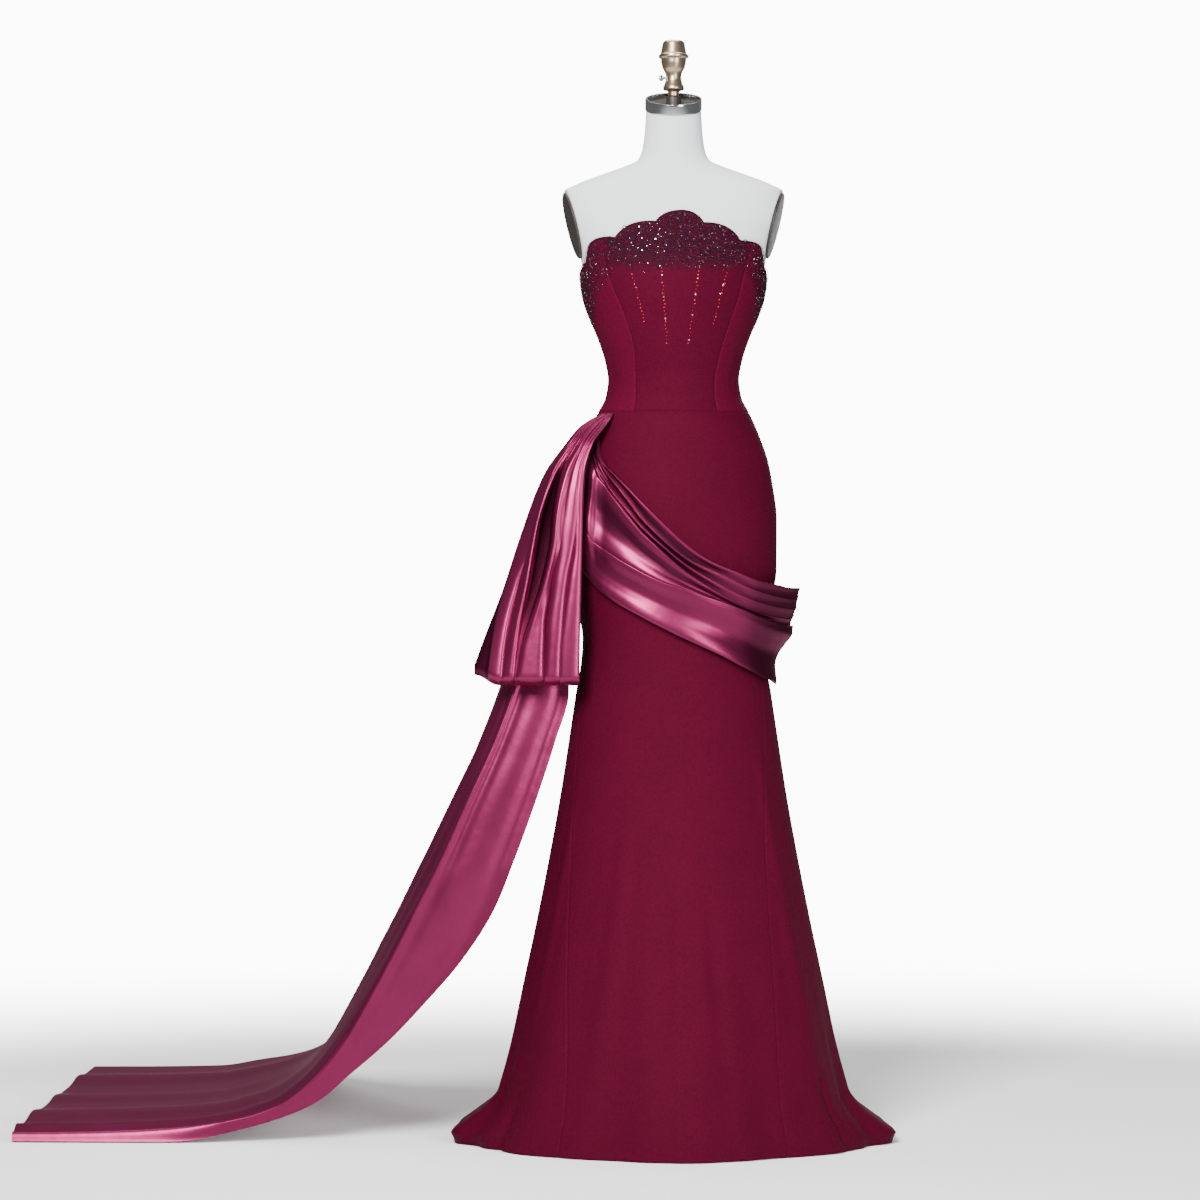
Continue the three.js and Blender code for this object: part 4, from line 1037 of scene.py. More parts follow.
def bodice_panel(name, left, right, count):
    """A panel from the waist seam to the top edge, between two functions of height that give its seams."""
    rows = spaced(0, 1, 1 / BODICE_ROWS["count"], BODICE_ROWS["edge"])
    z = np.full((len(rows), 1), WAIST_Z) * np.ones((1, count + 2 * len(SEAM_STEPS) - 2))
    z += rows[:, None] * 0.2  # a first guess at how high the panel is
    for _ in range(5):  # the heights follow the angles, which follow the heights
        middle = z[:, z.shape[1] // 2]
        _, places, width = across_panel(left(middle), right(middle), middle, count)
        share = places / width
        angle = lerp(left(z), right(z), share)
        z = lerp(WAIST_Z, neckline(angle), rows[:, None])
    width = (right(z) - left(z)) * per_degree(angle, z)
    top = neckline(angle)
    away = np.minimum.reduce([share * width, (1 - share) * width, z - WAIST_Z])
    grip = GRIP["drop"] * smooth(1 - (top - z) / GRIP["high"])
    roll = TOP_ROLL["deep"] * (1 - np.clip((top - z) / TOP_ROLL["wide"], 0, 1)) ** 3
    out = CLOTH_OUT - grip + crepe_folds(angle, z) - seam_dip(away)
    outer = figure(angle, z, out - roll)
    lift = TOP_ROLL["inner"] * roll + SEAM["inner"] * seam_dip(away)
    inner = figure(angle, z, out - CREPE_THICK + lift)
    cloth = wall(name, outer, inner)
    give_values(cloth.data, "beaded", beading_at(angle, z) * BEADED_SHADE)
    return cloth


def skirt_rows():
    """The heights of a skirt panel's rows, closer together at the hem and beside the waist seam."""
    hem_end, hem_step = SKIRT_ROWS["hem"]
    start, step = SKIRT_ROWS["body"]
    hem = spaced(HEM_Z, hem_end, hem_step, HEM_EDGE_ROWS)
    return np.concatenate([hem, spaced(start, WAIST_Z, step)[:-1], WAIST_Z - np.array(WAIST_EDGE_ROWS)])


def skirt_panel(name, left, right, count):
    """A panel from the hem to the waist seam, between two functions of height that give its seams."""
    z = skirt_rows()
    angle, places, width = across_panel(left(z), right(z), z, count)
    zz = z[:, None] * np.ones_like(angle)
    away = np.minimum.reduce([places, width - places, WAIST_Z - zz])
    roll = HEM_ROLL["deep"] * (1 - np.clip((zz - HEM_Z) / HEM_ROLL["high"], 0, 1)) ** 2
    out = CLOTH_OUT + crepe_folds(angle, zz) - seam_dip(away)
    turned_up = HEM_FOLD["thick"] * smooth((HEM_FOLD["high"] - zz) / 0.002)
    outer = figure(angle, zz, out - roll)
    inner = figure(angle, zz, out - CREPE_THICK - turned_up + roll)
    return wall(name, outer, inner)


def constant(angle):
    return lambda z: np.full(np.shape(z), float(angle))


def seam(rows, side):
    return lambda z: curve(rows, side, z)


def zip_edge(z):
    """The angle that half the zip takes up, where it runs."""
    return np.where(z > ZIP["low"], ZIP["half"] / per_degree(180.0, z), 0)


def build_crepe(finishes):
    centre_right = lambda z: 180 - zip_edge(z)
    centre_left = lambda z: -180 + zip_edge(z)
    bodice = (
        ("bodice_front", seam(PRINCESS, "left"), seam(PRINCESS, "right"), 110),
        ("bodice_side_front_left", constant(-SIDE_SEAM), seam(PRINCESS, "left"), 44),
        ("bodice_side_front_right", seam(PRINCESS, "right"), constant(SIDE_SEAM), 44),
        ("bodice_back_right", constant(SIDE_SEAM), centre_right, 56),
        ("bodice_back_left", centre_left, constant(-SIDE_SEAM), 56),
    )
    skirt = (
        ("skirt_front", seam(SKIRT_SEAM, "left"), seam(SKIRT_SEAM, "right"), 90),
        ("skirt_back_right", seam(SKIRT_SEAM, "right"), centre_right, 110),
        ("skirt_back_left", centre_left, seam(SKIRT_SEAM, "left"), 110),
    )
    for make, held, panels in ((bodice_panel, "stretched", bodice), (skirt_panel, "hung", skirt)):
        for node, left, right, count in panels:
            # the side panels take the crepe's lighter copy, painted sheen
            finish = "crepe_side" if "side" in node else "crepe"
            cloth = finish_with(make("cloth_" + node, left, right, count), finishes[finish])
            declare(cloth, [node])
            declare_cloth(cloth)
    for node in ("back_zip", "zip_slider", "zip_pull"):
        finish_with(frame["nodes"][node], finishes["zip_nylon"])


# ---- the satin drape -----------------------------------------------------------------------------
def on_drape(across, down):
    """The angle and height of the drape's face at a place in the photo, in pixels."""
    pixel, far = CAMERA["frame"] / PHOTO_SIDE, CAMERA["distance"]
    aside, up = (across - PHOTO_SIDE / 2) * pixel, (PHOTO_SIDE / 2 - down) * pixel
    angle = np.linspace(*DRAPE_SEARCH)
    off = DRAPE_FACE + curve(BAND, "proud", angle, "angle")
    z = CAMERA["z"] + up
    for _ in range(5):  # the face's depth and the height that is seen there depend on each other
        points = figure(angle, z, off)
        seen = (points[:, 0] - CAMERA["x"]) * far / (far + points[:, 1])
        nearest = np.argmin(np.abs(seen - aside))
        z = CAMERA["z"] + up * (far + points[nearest, 1]) / far
    return angle[nearest], z


def drape_line(key):
    """One of the drape's fold lines as heights: in front from the photo, then round the back."""
    angles, heights = np.array(sorted(on_drape(*place) for place in DRAPE_PLACES[key])).T
    at = np.array(DRAPE_ANGLES)
    front = np.interp(at, angles, heights)
    if key == "hem":
        for angle, z in DRAPE_RIGHT_HEM.items():
            front[at == angle] = z
    elif key != "middle":
        front += np.where(at <= DRAPE_TUCK["from"], DRAPE_TUCK["up"] * (DRAPE_TUCK["level"] - at), 0)
    return np.concatenate([front.round(4), DRAPE_BACK[key]])


def drape_lines():
    """The drape's fold lines as a table of heights at angles."""
    angle = np.concatenate([DRAPE_ANGLES, DRAPE_BACK["angle"]])
    return {"angle": angle, **{key: drape_line(key) for key in DRAPE_PLACES}}


def drape_rows():
    """For each row: its layer, its place down the layer, and how far its lip goes up and in."""
    rows = []
    for layer, (kind, count) in enumerate(DRAPE_LAYERS):
        rows += [(layer, 0, up, dip) for up, dip in DRAPE_LIP]
        rows += [(layer, t, 0, 0) for t in np.linspace(0, 1, count + 1) ** DRAPE_CROWDING]
    return np.array(rows)


def by_layer(rows, values, t):
    """A column of a table for each row's kind of layer, at its place down the layer."""
    kinds = [DRAPE_LAYERS[int(layer)][0] for layer in rows[:, 0]]
    return np.array([curve(values, kind, at, "t") for kind, at in zip(kinds, t)])[:, None]


def drape_points(angle, rows, fold_lines):
    """The drape's outer and inner points, and how much painted shade each outer one's colour takes."""
    lines = np.stack([curve(fold_lines, key, angle, "angle") for key in DRAPE_PLACES])
    layer, t, up, dip = rows.T[:, :, None]
    layer = layer[:, 0].astype(int)
    z = lerp(lines[layer], lines[layer + 1], t)
    fade = np.stack([curve(DRAPE_FADE, "layer%d" % k, angle, "angle") for k in range(5)])[layer]
    fold = by_layer(rows, DRAPE_PROFILE, rows[:, 1]) * fade
    share = (lines[0] - z) / (lines[0] - lines[-1])
    proud = curve(BAND, "proud", angle, "angle") * curve(DRAPE_ROLL, "out", share, "share")
    first, last = BAND["angle"][0], BAND["angle"][-1]
    seat = BAND_SEAT["drop"] * bump(np.minimum(angle - first, last - angle) / BAND_SEAT["span"])
    base = BAND_IN - seat + proud
    lined = np.where(layer[:, None] < DRAPE_NARROW, 0, fold * smooth(t / DRAPE_LINING))
    apart = DRAPE_STEP * (up > 0) * np.arange(len(rows))[:, None] / len(rows)
    outer = figure(angle[None], z + up * fade, base + SATIN_THICK + fold - dip * fade)
    inner = figure(angle[None], z - apart, base + lined)
    low, full, over, top = DRAPE_SWELL_SPAN
    height = smooth((z - low) / (full - low)) * smooth((top - z) / (top - over))
    swell = curve(DRAPE_SWELL, "out", angle, "angle") * height
    for points in (outer, inner):
        points[..., 1] -= swell
    # painted shade in the layers' folds, and painted shadow where the drape runs under the loop and rolls
    # away
    painted_shade = by_layer(rows, DRAPE_PAINTED_SHADE, rows[:, 1]) * np.minimum(1, fade)
    return outer, inner, np.maximum(painted_shade, curve(DRAPE_SHADE, "deep", angle, "angle"))


def build_drape(finishes):
    rows, fold_lines = drape_rows(), drape_lines()
    first, last = BAND["angle"][0], BAND["angle"][-1]
    for name, start, end in (("front", first, BAND_SPLIT), ("back", BAND_SPLIT, last)):
        angle = np.linspace(start, end, DRAPE_COLUMNS[name])
        outer, inner, painted_shade = drape_points(angle, rows, fold_lines)
        cloth = finish_with(wall("cloth_drape_" + name, outer, inner, SATIN_SHARP, painted_shade), finishes["satin"])
        declare(cloth, ["hip_band_" + name])
        declare_cloth(cloth)


# ---- the bow loop --------------------------------------------------------------------------------
def loop_columns(z, columns):
    """Places across the loop at heights, with columns that follow its creases and crowd beside them."""
    keys = ("rolled", "dark", "slit", "lip", "broad", "flap")
    edges = [0 * z, *(curve(LOOP_LINES, key, z) for key in keys), 0 * z + 1]
    between = [(low + 1e-6, high) for low, high in zip(edges, edges[1:])]
    crowded = (1 - np.cos(pi * np.linspace(0, 1, columns))) / 2
    return np.concatenate([lerp(low[:, None], high[:, None], crowded[None]) for low, high in between], axis=1)


def creases(z, across):
    """How far the loop's front goes in at its creases and out at their lips, and where it ruffles."""
    crease = LOOP_CREASE
    width = curve(LOOP, "right", z) - curve(LOOP, "left", z)
    depth = np.zeros_like(across)
    for key in ("broad", "dark", "rolled"):
        away = np.abs(across - curve(LOOP_LINES, key, z)) * width
        depth += curve(LOOP_DEPTHS, key, z) * np.exp(-away / crease["soft"])
    lip, slit = curve(LOOP_LINES, "lip", z), curve(LOOP_LINES, "slit", z)
    away = np.maximum(np.maximum(across - lip, slit - across), 0) * width
    deep = curve(LOOP_DEPTHS, "slit", z)
    ridge = np.exp(-(((away - crease["ridge_at"]) / crease["ridge_wide"]) ** 2))
    depth += deep * np.exp(-away / crease["sharp"]) - crease["ridge"] * deep * ridge
    past = (across - curve(LOOP_LINES, "flap", z)) * width
    depth += curve(LOOP_DEPTHS, "flap", z) * smooth(past / crease["flap"])
    edge = np.minimum(across, 1 - across) * width
    depth += crease["edge"] * np.exp(-edge / crease["edge_wide"])
    uneven = LOOP_RUFFLES["uneven"] * np.sin(across * LOOP_RUFFLES["swing"])
    ruffle = np.abs(np.sin(across * pi * LOOP_RUFFLES["count"] + uneven))
    return depth + curve(LOOP_DEPTHS, "gather", z) * (1 - ruffle)


def loop_painted_shade(us, columns):
    """How much painted shade each point of the loop's front takes, from how deep in its creases it lies."""
    z = lerp(LOOP["z"][0], LOOP["z"][-1], np.clip(us / LOOP_FOLD["down"], 0, 1))
    across = loop_columns(z, columns)
    deep = smooth((creases(z[:, None], across) - LOOP_SHADE["from"]) / LOOP_SHADE["over"])
    return deep * (us < 0.5)[:, None]


def leaf(z, across, back):
    """The loop's leaf at heights and places across it, from 0 at its right edge to 1 at its left."""
    x = lerp(curve(LOOP, "right", z), curve(LOOP, "left", z), across)
    y = lerp(curve(LOOP, "rightY", z), curve(LOOP, "leftY", z), across)
    grown = np.clip((LOOP["z"][0] - z) / LOOP_CROWN["grown"], 0, 1)
    crown = np.sin(pi * across) * grown
    if back:
        folds = sum(deep * np.sin(across * turns + start) for deep, turns, start in LOOP_BACK_FOLDS)
        y = y + curve(LOOP, "apart", z) + crown * LOOP_CROWN["back"] + grown * folds
    else:
        y = y - crown * LOOP_CROWN["front"] + creases(z, across)
    return np.stack([x, y, z], axis=-1)


def loop_points(us, columns):
    """The loop down its front leaf, round its fold and up its back leaf."""
    down, fold = LOOP_FOLD["down"], LOOP_FOLD["fold"]
    top, low = LOOP["z"][0], LOOP["z"][-1]
    height = lerp(top, low, np.clip(u_shape(us, down, fold), 0, 1))
    a = loop_columns(height, columns)
    u = us[:, None] * np.ones_like(a)
    bottom = low + LOOP_FOLD["lift"] * smooth((a - LOOP_FOLD["start"]) / (1 - LOOP_FOLD["start"]))
    front = leaf(lerp(top, bottom, np.clip(u / down, 0, 1)), a, False)
    behind = leaf(lerp(bottom, top, np.clip((u - down - fold) / down, 0, 1)), a, True)
    low_front, low_back = leaf(bottom, a, False), leaf(bottom, a, True)
    turned = (np.clip((u - down) / fold, 0, 1) * pi)[..., None]
    middle = (low_front + low_back) / 2
    hang = np.array([0, 0, LOOP_FOLD["round"]])
    round_fold = middle + (low_front - middle) * np.cos(turned) - hang * np.sin(turned)
    u = u[..., None]
    return np.where(u < down, front, np.where(u > down + fold, behind, round_fold))


def u_shape(us, down, fold):
    """How far down its leaf each row of the loop is: 0 to 1 down the front, and back up behind."""
    return np.minimum(us, 2 * down + fold - us) / down


def build_loop(finishes):
    down, up = LOOP_FOLD["down"], LOOP_FOLD["down"] + LOOP_FOLD["fold"]
    front, back = np.linspace(0, down, LOOP_ROWS["front"]), np.linspace(up, 1, LOOP_ROWS["back"])
    us = np.concatenate([front, np.linspace(down, up, LOOP_ROWS["fold"])[1:-1], back])
    points = loop_points(us, LOOP_COLUMNS)
    inner = points - SATIN_THICK * facing(points, LOOP_FRONT, (0, -1, 0))
    # painted shade in the loop's creases
    painted_shade = loop_painted_shade(us, LOOP_COLUMNS)
    cloth = finish_with(wall("cloth_bow_loop", points, inner, SATIN_SHARP, painted_shade), finishes["satin"])
    declare(cloth, ["bow_loop"])
    declare_cloth(cloth)


# ---- the train -----------------------------------------------------------------------------------
def train_points(us, vs):
    """The train from the loop to its end on the floor, through its near edge, its ridge and its far edge."""
    by = dict(TRAIN, at=np.linspace(0, 1, len(TRAIN["ex"])))
    edges = [np.stack([curve(by, edge + axis, us, "at") for axis in "xyz"], axis=-1) for edge in "erb"]
    points = np.zeros((len(us), len(vs), 3))
    for i in range(len(us)):
        across = {key: np.array([edge[i][axis] for edge in edges]) for axis, key in enumerate("xyz")}
        across["v"] = np.array([0, TRAIN_RIDGE, 1])
        points[i] = np.stack([curve(across, key, vs, "v") for key in "xyz"], axis=-1)
    u, v = us[:, None], vs[None]
    waves = TRAIN_WAVES
    swell = np.sin(pi * np.clip((u - waves["start"]) / waves["span"], 0, 1)) * np.sin(pi * v)
    wave = waves["deep"] * swell * np.cos(2 * pi * waves["count"] * v)
    points[..., 0] += wave * waves["aside"]
    points[..., 2] = np.maximum(TRAIN_FLOOR, points[..., 2] + wave * waves["up"] - TRAIN_SAG)
    n = facing(points, TRAIN_LAID, (0, 0, 1))
    for fold in rows_of(TRAIN_FOLDS):
        length = np.clip((u - fold["start"]) / (fold["end"] - fold["start"]), 0, 1)
        high = fold["high"] * np.sin(pi * length) ** TRAIN_FOLD_ENDS
        points += n * (high * bump((v - fold["v"]) / fold["width"]))[..., None]
    points[..., 2] = np.maximum(TRAIN_FLOOR, points[..., 2])
    return points


def build_train(finishes):
    under = train_points(*(np.linspace(0, 1, count) for count in TRAIN_GRID))
    over = under + SATIN_THICK * facing(under, TRAIN_LAID, (0, 0, 1))
    cloth = finish_with(wall("cloth_train", over, under, sharp=60), finishes["satin"])
    declare(cloth, ["train"])
    declare_cloth(cloth)


# ---- the beading ---------------------------------------------------------------------------------
def add_node(tree, kind, settings=None, inputs=None):
    """Adds a node of a type, with its settings and then its sockets' values or links."""
    made = tree.nodes.new(kind)
    for key, value in (settings or {}).items():
        setattr(made, key, value)
    for key, value in (inputs or {}).items():
        if isinstance(value, bpy.types.NodeSocket):
            tree.links.new(value, made.inputs[key])
        else:
            made.inputs[key].default_value = value
    return made


class Recipe:
    """A Geometry Nodes tree that sets small pieces out, with named inputs."""

    SHARED = {
        "Geometry": "Geometry", "Bead": "Object", "Smallest": "Float", "Largest": "Float", "Seed": "Int",
        "Finish": "Material",
    }

    def __init__(self, name, **inputs):
        self.tree = bpy.data.node_groups.new(name, "GeometryNodeTree")
        sockets = self.tree.interface
        sockets.new_socket("Geometry", in_out="OUTPUT", socket_type="NodeSocketGeometry")
        self.ids = {}
        for label, kind in {**self.SHARED, **inputs}.items():
            socket = sockets.new_socket(label, in_out="INPUT", socket_type="NodeSocket" + kind)
            self.ids[label] = socket.identifier
        self.given = self.tree.nodes.new("NodeGroupInput").outputs

    def node(self, kind, settings=None, inputs=None, out=0):
        return add_node(self.tree, kind, settings, inputs).outputs[out]

    def out_rotation(self):
        """The turn that stands a bead along the cloth's normal."""
        kind = {"data_type": "FLOAT_VECTOR"}
        out = self.node("GeometryNodeInputNamedAttribute", kind, {"Name": "out"})
        return self.node("FunctionNodeAlignRotationToVector", {"axis": "Z"}, {"Vector": out})

    def random(self, low, high, seed):
        inputs = {2: low, 3: high, "Seed": seed}
        return self.node("FunctionNodeRandomValue", {"data_type": "FLOAT"}, inputs, out=1)

    def set_out(self, points, rotation):
        """Puts a bead on each point, each with its own size and turn, and ends the tree."""
        given = self.given
        bead = self.node("GeometryNodeObjectInfo", inputs={"Object": given["Bead"]}, out="Geometry")
        size = self.random(given["Smallest"], given["Largest"], given["Seed"])
        inputs = {"Points": points, "Instance": bead, "Rotation": rotation, "Scale": size}
        beads = self.node("GeometryNodeInstanceOnPoints", inputs=inputs)
        turn = self.node("ShaderNodeCombineXYZ", inputs={"Z": self.random(0.0, 2 * pi, given["Seed"])})
        beads = self.node("GeometryNodeRotateInstances", inputs={"Instances": beads, "Rotation": turn})
        real = self.node("GeometryNodeRealizeInstances", inputs={"Geometry": beads})
        done = self.node("GeometryNodeSetMaterial", inputs={"Geometry": real, "Material": given["Finish"]})
        self.tree.links.new(done, self.tree.nodes.new("NodeGroupOutput").inputs[0])
        return self

    def grow(self, name, mesh, **values):
        """The recipe's result on a mesh, as a plain mesh of its own."""
        obj = link(name, mesh)
        modifier = obj.modifiers.new("Recipe", "NODES")
        modifier.node_group = self.tree
        for label, value in values.items():
            modifier[self.ids[label]] = value
        made = bpy.data.meshes.new_from_object(obj.evaluated_get(bpy.context.evaluated_depsgraph_get()))
        obj.modifiers.remove(modifier)
        obj.data = made
        obj.data.name = name
        return obj


def scatter_recipe():
    """Beads strewn over cloth, as thickly as its `beading` attribute says."""
    r = Recipe("Strewn beads", Apart="Float", Density="Float")
    thick = r.node("GeometryNodeInputNamedAttribute", {"data_type": "FLOAT"}, {"Name": "beading"})
    inputs = {
        "Mesh": r.given["Geometry"], "Distance Min": r.given["Apart"], "Density Max": r.given["Density"],
        "Density Factor": thick, "Seed": r.given["Seed"],
    }
    points = r.node("GeometryNodeDistributePointsOnFaces", {"distribute_method": "POISSON"}, inputs)
    return r.set_out(points, points.node.outputs["Rotation"])


def line_recipe():
    """Beads strung along a line whose points carry the cloth's normal."""
    r = Recipe("Strung beads", Spacing="Float")
    line = r.node("GeometryNodeMeshToCurve", inputs={"Mesh": r.given["Geometry"]})
    inputs = {"Curve": line, "Length": r.given["Spacing"]}
    line = r.node("GeometryNodeResampleCurve", {"mode": "LENGTH"}, inputs)
    return r.set_out(line, r.out_rotation())


def stone_recipe():
    """One stone on each point of a mesh whose points carry the cloth's normal."""
    r = Recipe("Set stones")
    points = r.node("GeometryNodeMeshToPoints", inputs={"Mesh": r.given["Geometry"]})
    return r.set_out(points, r.out_rotation())


def with_out(name, lines, joined):
    """Points on the cloth, joined in lines where asked, with the cloth's normal on each."""
    angle, z = (np.concatenate(values) for values in zip(*lines))
    off = BEAD_SEAT + CLOTH_OUT
    turn, rise = NEAR["turn"], NEAR["rise"]
    around = figure(angle + turn, z, off) - figure(angle - turn, z, off)
    upward = figure(angle, z + rise, off) - figure(angle, z - rise, off)
    out = np.cross(around, upward)
    out /= np.linalg.norm(out, axis=1, keepdims=True)
    edges, first = [], 0
    for places, _ in lines if joined else ():
        edges += [(first + i, first + i + 1) for i in range(len(places) - 1)]
        first += len(places)
    mesh = bpy.data.meshes.new(name)
    mesh.from_pydata(figure(angle, z, off).tolist(), edges, [])
    held = mesh.attributes.new("out", "FLOAT_VECTOR", "POINT")
    held.data.foreach_set("vector", out.astype(np.float32).ravel())
    return mesh


def beading_at(angle, z):
    """How thick the strewn beading is, from 0 to 1."""
    thins = BEADING_THINS
    low, full = curve(BEADING, "low", angle, "angle"), curve(BEADING, "full", angle, "angle")
    below_top = smooth((neckline(angle) - z - thins["below_top"]) / thins["top"])
    share = thins["share"] + thins["more"] * smooth((z - low - thins["from"]) / thins["over"])
    return np.clip(full * smooth((z - low) / thins["low"]) * below_top * share, 0, 1)


def beaded_cloth():
    """The beaded part of the bodice's face, with the thickness of the beading on its points."""
    rows, columns = BEADED_GRID
    angle = np.linspace(-BEADED_HALF, BEADED_HALF, columns)[None]
    top = neckline(angle)
    z = lerp(BEADED_LOW, top, np.linspace(0, 1, rows)[:, None])
    grip = GRIP["drop"] * smooth(1 - (top - z) / GRIP["high"])
    points = figure(angle, z, CLOTH_OUT - grip + BEAD_SEAT)
    mesh = mesh_of("beaded_cloth", points.reshape(-1, 3), grid_faces(rows, columns))
    give_values(mesh, "beading", beading_at(angle, z))
    return mesh


def rocaille():
    """A small round glass bead, a little flat."""
    made = bmesh.new()
    flat = Matrix.Diagonal((1, 1, ROCAILLE["high"], 1))
    bmesh.ops.create_icosphere(made, subdivisions=1, radius=ROCAILLE["radius"], matrix=flat)
    mesh = mesh_from("rocaille", made)
    mesh.polygons.foreach_set("use_smooth", np.ones(len(mesh.polygons), bool))
    return link("rocaille", mesh)


def brilliant(sides=7):
    """A faceted stone: a table, two rows of crown facets and a shallow base."""
    made = bmesh.new()
    rings = []
    for radius, z, turn in BRILLIANT_RINGS:
        places = [2 * pi * (k + turn) / sides for k in range(sides)]
        rings.append([made.verts.new(Vector((radius * cos(a), radius * sin(a), z)) / 1000) for a in places])
    made.faces.new(rings[0])
    for row, (high, low) in enumerate(zip(rings, rings[1:])):
        for k in range(sides):
            n = (k + 1) % sides
            turned = row != 1
            made.faces.new((low[k], low[n], high[n] if turned else high[k]))
            made.faces.new((low[k] if turned else low[n], high[n], high[k]))
    made.faces.new(rings[-1][::-1])
    bmesh.ops.recalc_face_normals(made, faces=made.faces[:])
    return link("brilliant", mesh_from("brilliant", made))


def sequin(sides=8):
    """A cupped sequin with its facets in the round."""
    made = bmesh.new()
    inner, rim = [], []
    for k in range(sides):
        x, y = cos(2 * pi * k / sides), sin(2 * pi * k / sides)
        up = SEQUIN["cup"] + SEQUIN["wave"] * (k % 2)
        rim.append(made.verts.new((x * SEQUIN["radius"], y * SEQUIN["radius"], up)))
        inner.append(made.verts.new((x * SEQUIN["inner"], y * SEQUIN["inner"], 0)))
    for k in range(sides):
        n = (k + 1) % sides
        made.faces.new((inner[k], rim[k], rim[n], inner[n]))
    made.faces.new(inner)
    return link("sequin", mesh_from("sequin", made))


def petals(count=6):
    """A ring of small pointed stones."""
    made = bmesh.new()
    pointed = Matrix.Diagonal((1, PETAL["wide"], PETAL["high"], 1))
    for k in range(count):
        turn = Matrix.Rotation(2 * pi * k / count, 4, "Z")
        shape = turn @ Matrix.Translation((PETAL["out"], 0, PETAL["up"])) @ pointed
        bmesh.ops.create_icosphere(made, subdivisions=1, radius=PETAL["radius"], matrix=shape)
    return link("petals", mesh_from("petals", made))


def bead_lines():
    """The strung beads: the top edge, the dark rows over the bust, the side streaks and the drips."""
    round_edge = np.linspace(-EDGE_BEADS["half"], EDGE_BEADS["half"], EDGE_BEADS["points"])
    edge = (round_edge, neckline(round_edge) - EDGE_BEADS["below"])
    rows, streaks, drips = [], [], []
    for row in rows_of(BUST_ROWS):
        t = np.linspace(0, 1, ROW_POINTS)
        angle = lerp(row["start"], row["end"], t)
        wave = ROW_WAVE["deep"] * np.sin(angle / ROW_WAVE["degrees"])
        rows.append((angle, row["z"] - row["sag"] * np.sin(pi * t) + wave))
    t = np.linspace(0, 1, LINE_POINTS)
    for row in rows_of(SIDE_STREAKS):
        streaks.append((lerp(row["top_angle"], row["low_angle"], t), lerp(row["top"], row["low"], t)))
    wiggle = sum(deep * np.sin(t * turns + start) for deep, turns, start in DRIP_WIGGLE)
    for row in rows_of(DRIPS):
        angle = lerp(row["top_angle"], row["low_angle"], t) + row["sway"] * np.sin(pi * t) + wiggle
        drips.append((angle, lerp(row["top"], row["low"], t)))
    return [edge], rows, streaks, drips


def build_beading(finishes):
    strewn, strung, stones = scatter_recipe(), line_recipe(), stone_recipe()
    shapes = {"rocaille": rocaille(), "brilliant": brilliant(), "sequin": sequin(), "petals": petals()}
    pieces = []

    def sew(recipe, name, mesh, shape, finish, smallest, largest, seed, **spread):
        """Sets one piece's beads out on a mesh."""
        given = {"Bead": shapes[shape], "Finish": finishes[finish], "Smallest": smallest, "Largest": largest}
        pieces.append(recipe.grow(name, mesh, **given, Seed=seed, **spread))

    for number, (name, shape, finish, density, apart, smallest, largest) in enumerate(STREWN):
        seed, spread = SEEDS["strewn"] + number, {"Density": float(density), "Apart": apart}
        sew(strewn, name, beaded_cloth(), shape, finish, smallest, largest, seed, **spread)
    for number, (kind, lines) in enumerate(zip(STRUNG, bead_lines())):
        name, shape, finish, spacing, smallest, largest = kind
        line = with_out(name, lines, True)
        sew(strung, name, line, shape, finish, smallest, largest, SEEDS["strung"] + number, Spacing=spacing)
    for name, shape, finish, places, smallest, largest, seed in SET_STONES:
        spots = with_out(name, [(places["angle"], places["z"])], False)
        sew(stones, name, spots, shape, finish, smallest, largest, seed)
    for shape in shapes.values():
        bpy.data.objects.remove(shape)
    for piece in pieces:
        declare(piece)


# ---- finishes ------------------------------------------------------------------------------------
class Shade:
    """A socket of a finish's node tree, which Python's operators work on."""

    def __init__(self, finish, socket):
        self.finish, self.socket = finish, socket

    def math(self, operation, a, b):
        return self.finish.node("Math", {"operation": operation}, {0: a, 1: b})

    def __add__(self, other):
        return self.math("ADD", self, other)

    def __sub__(self, other):
        return self.math("SUBTRACT", self, other)

    def __mul__(self, other):
        return self.math("MULTIPLY", self, other)

    __radd__, __rmul__ = __add__, __mul__

    def between(self, low, high):
        """0 at low, 1 at high, and smooth between them."""
        settings = {"interpolation_type": "SMOOTHSTEP"}
        return self.finish.node("MapRange", settings, {"Value": self, "From Min": low, "From Max": high})


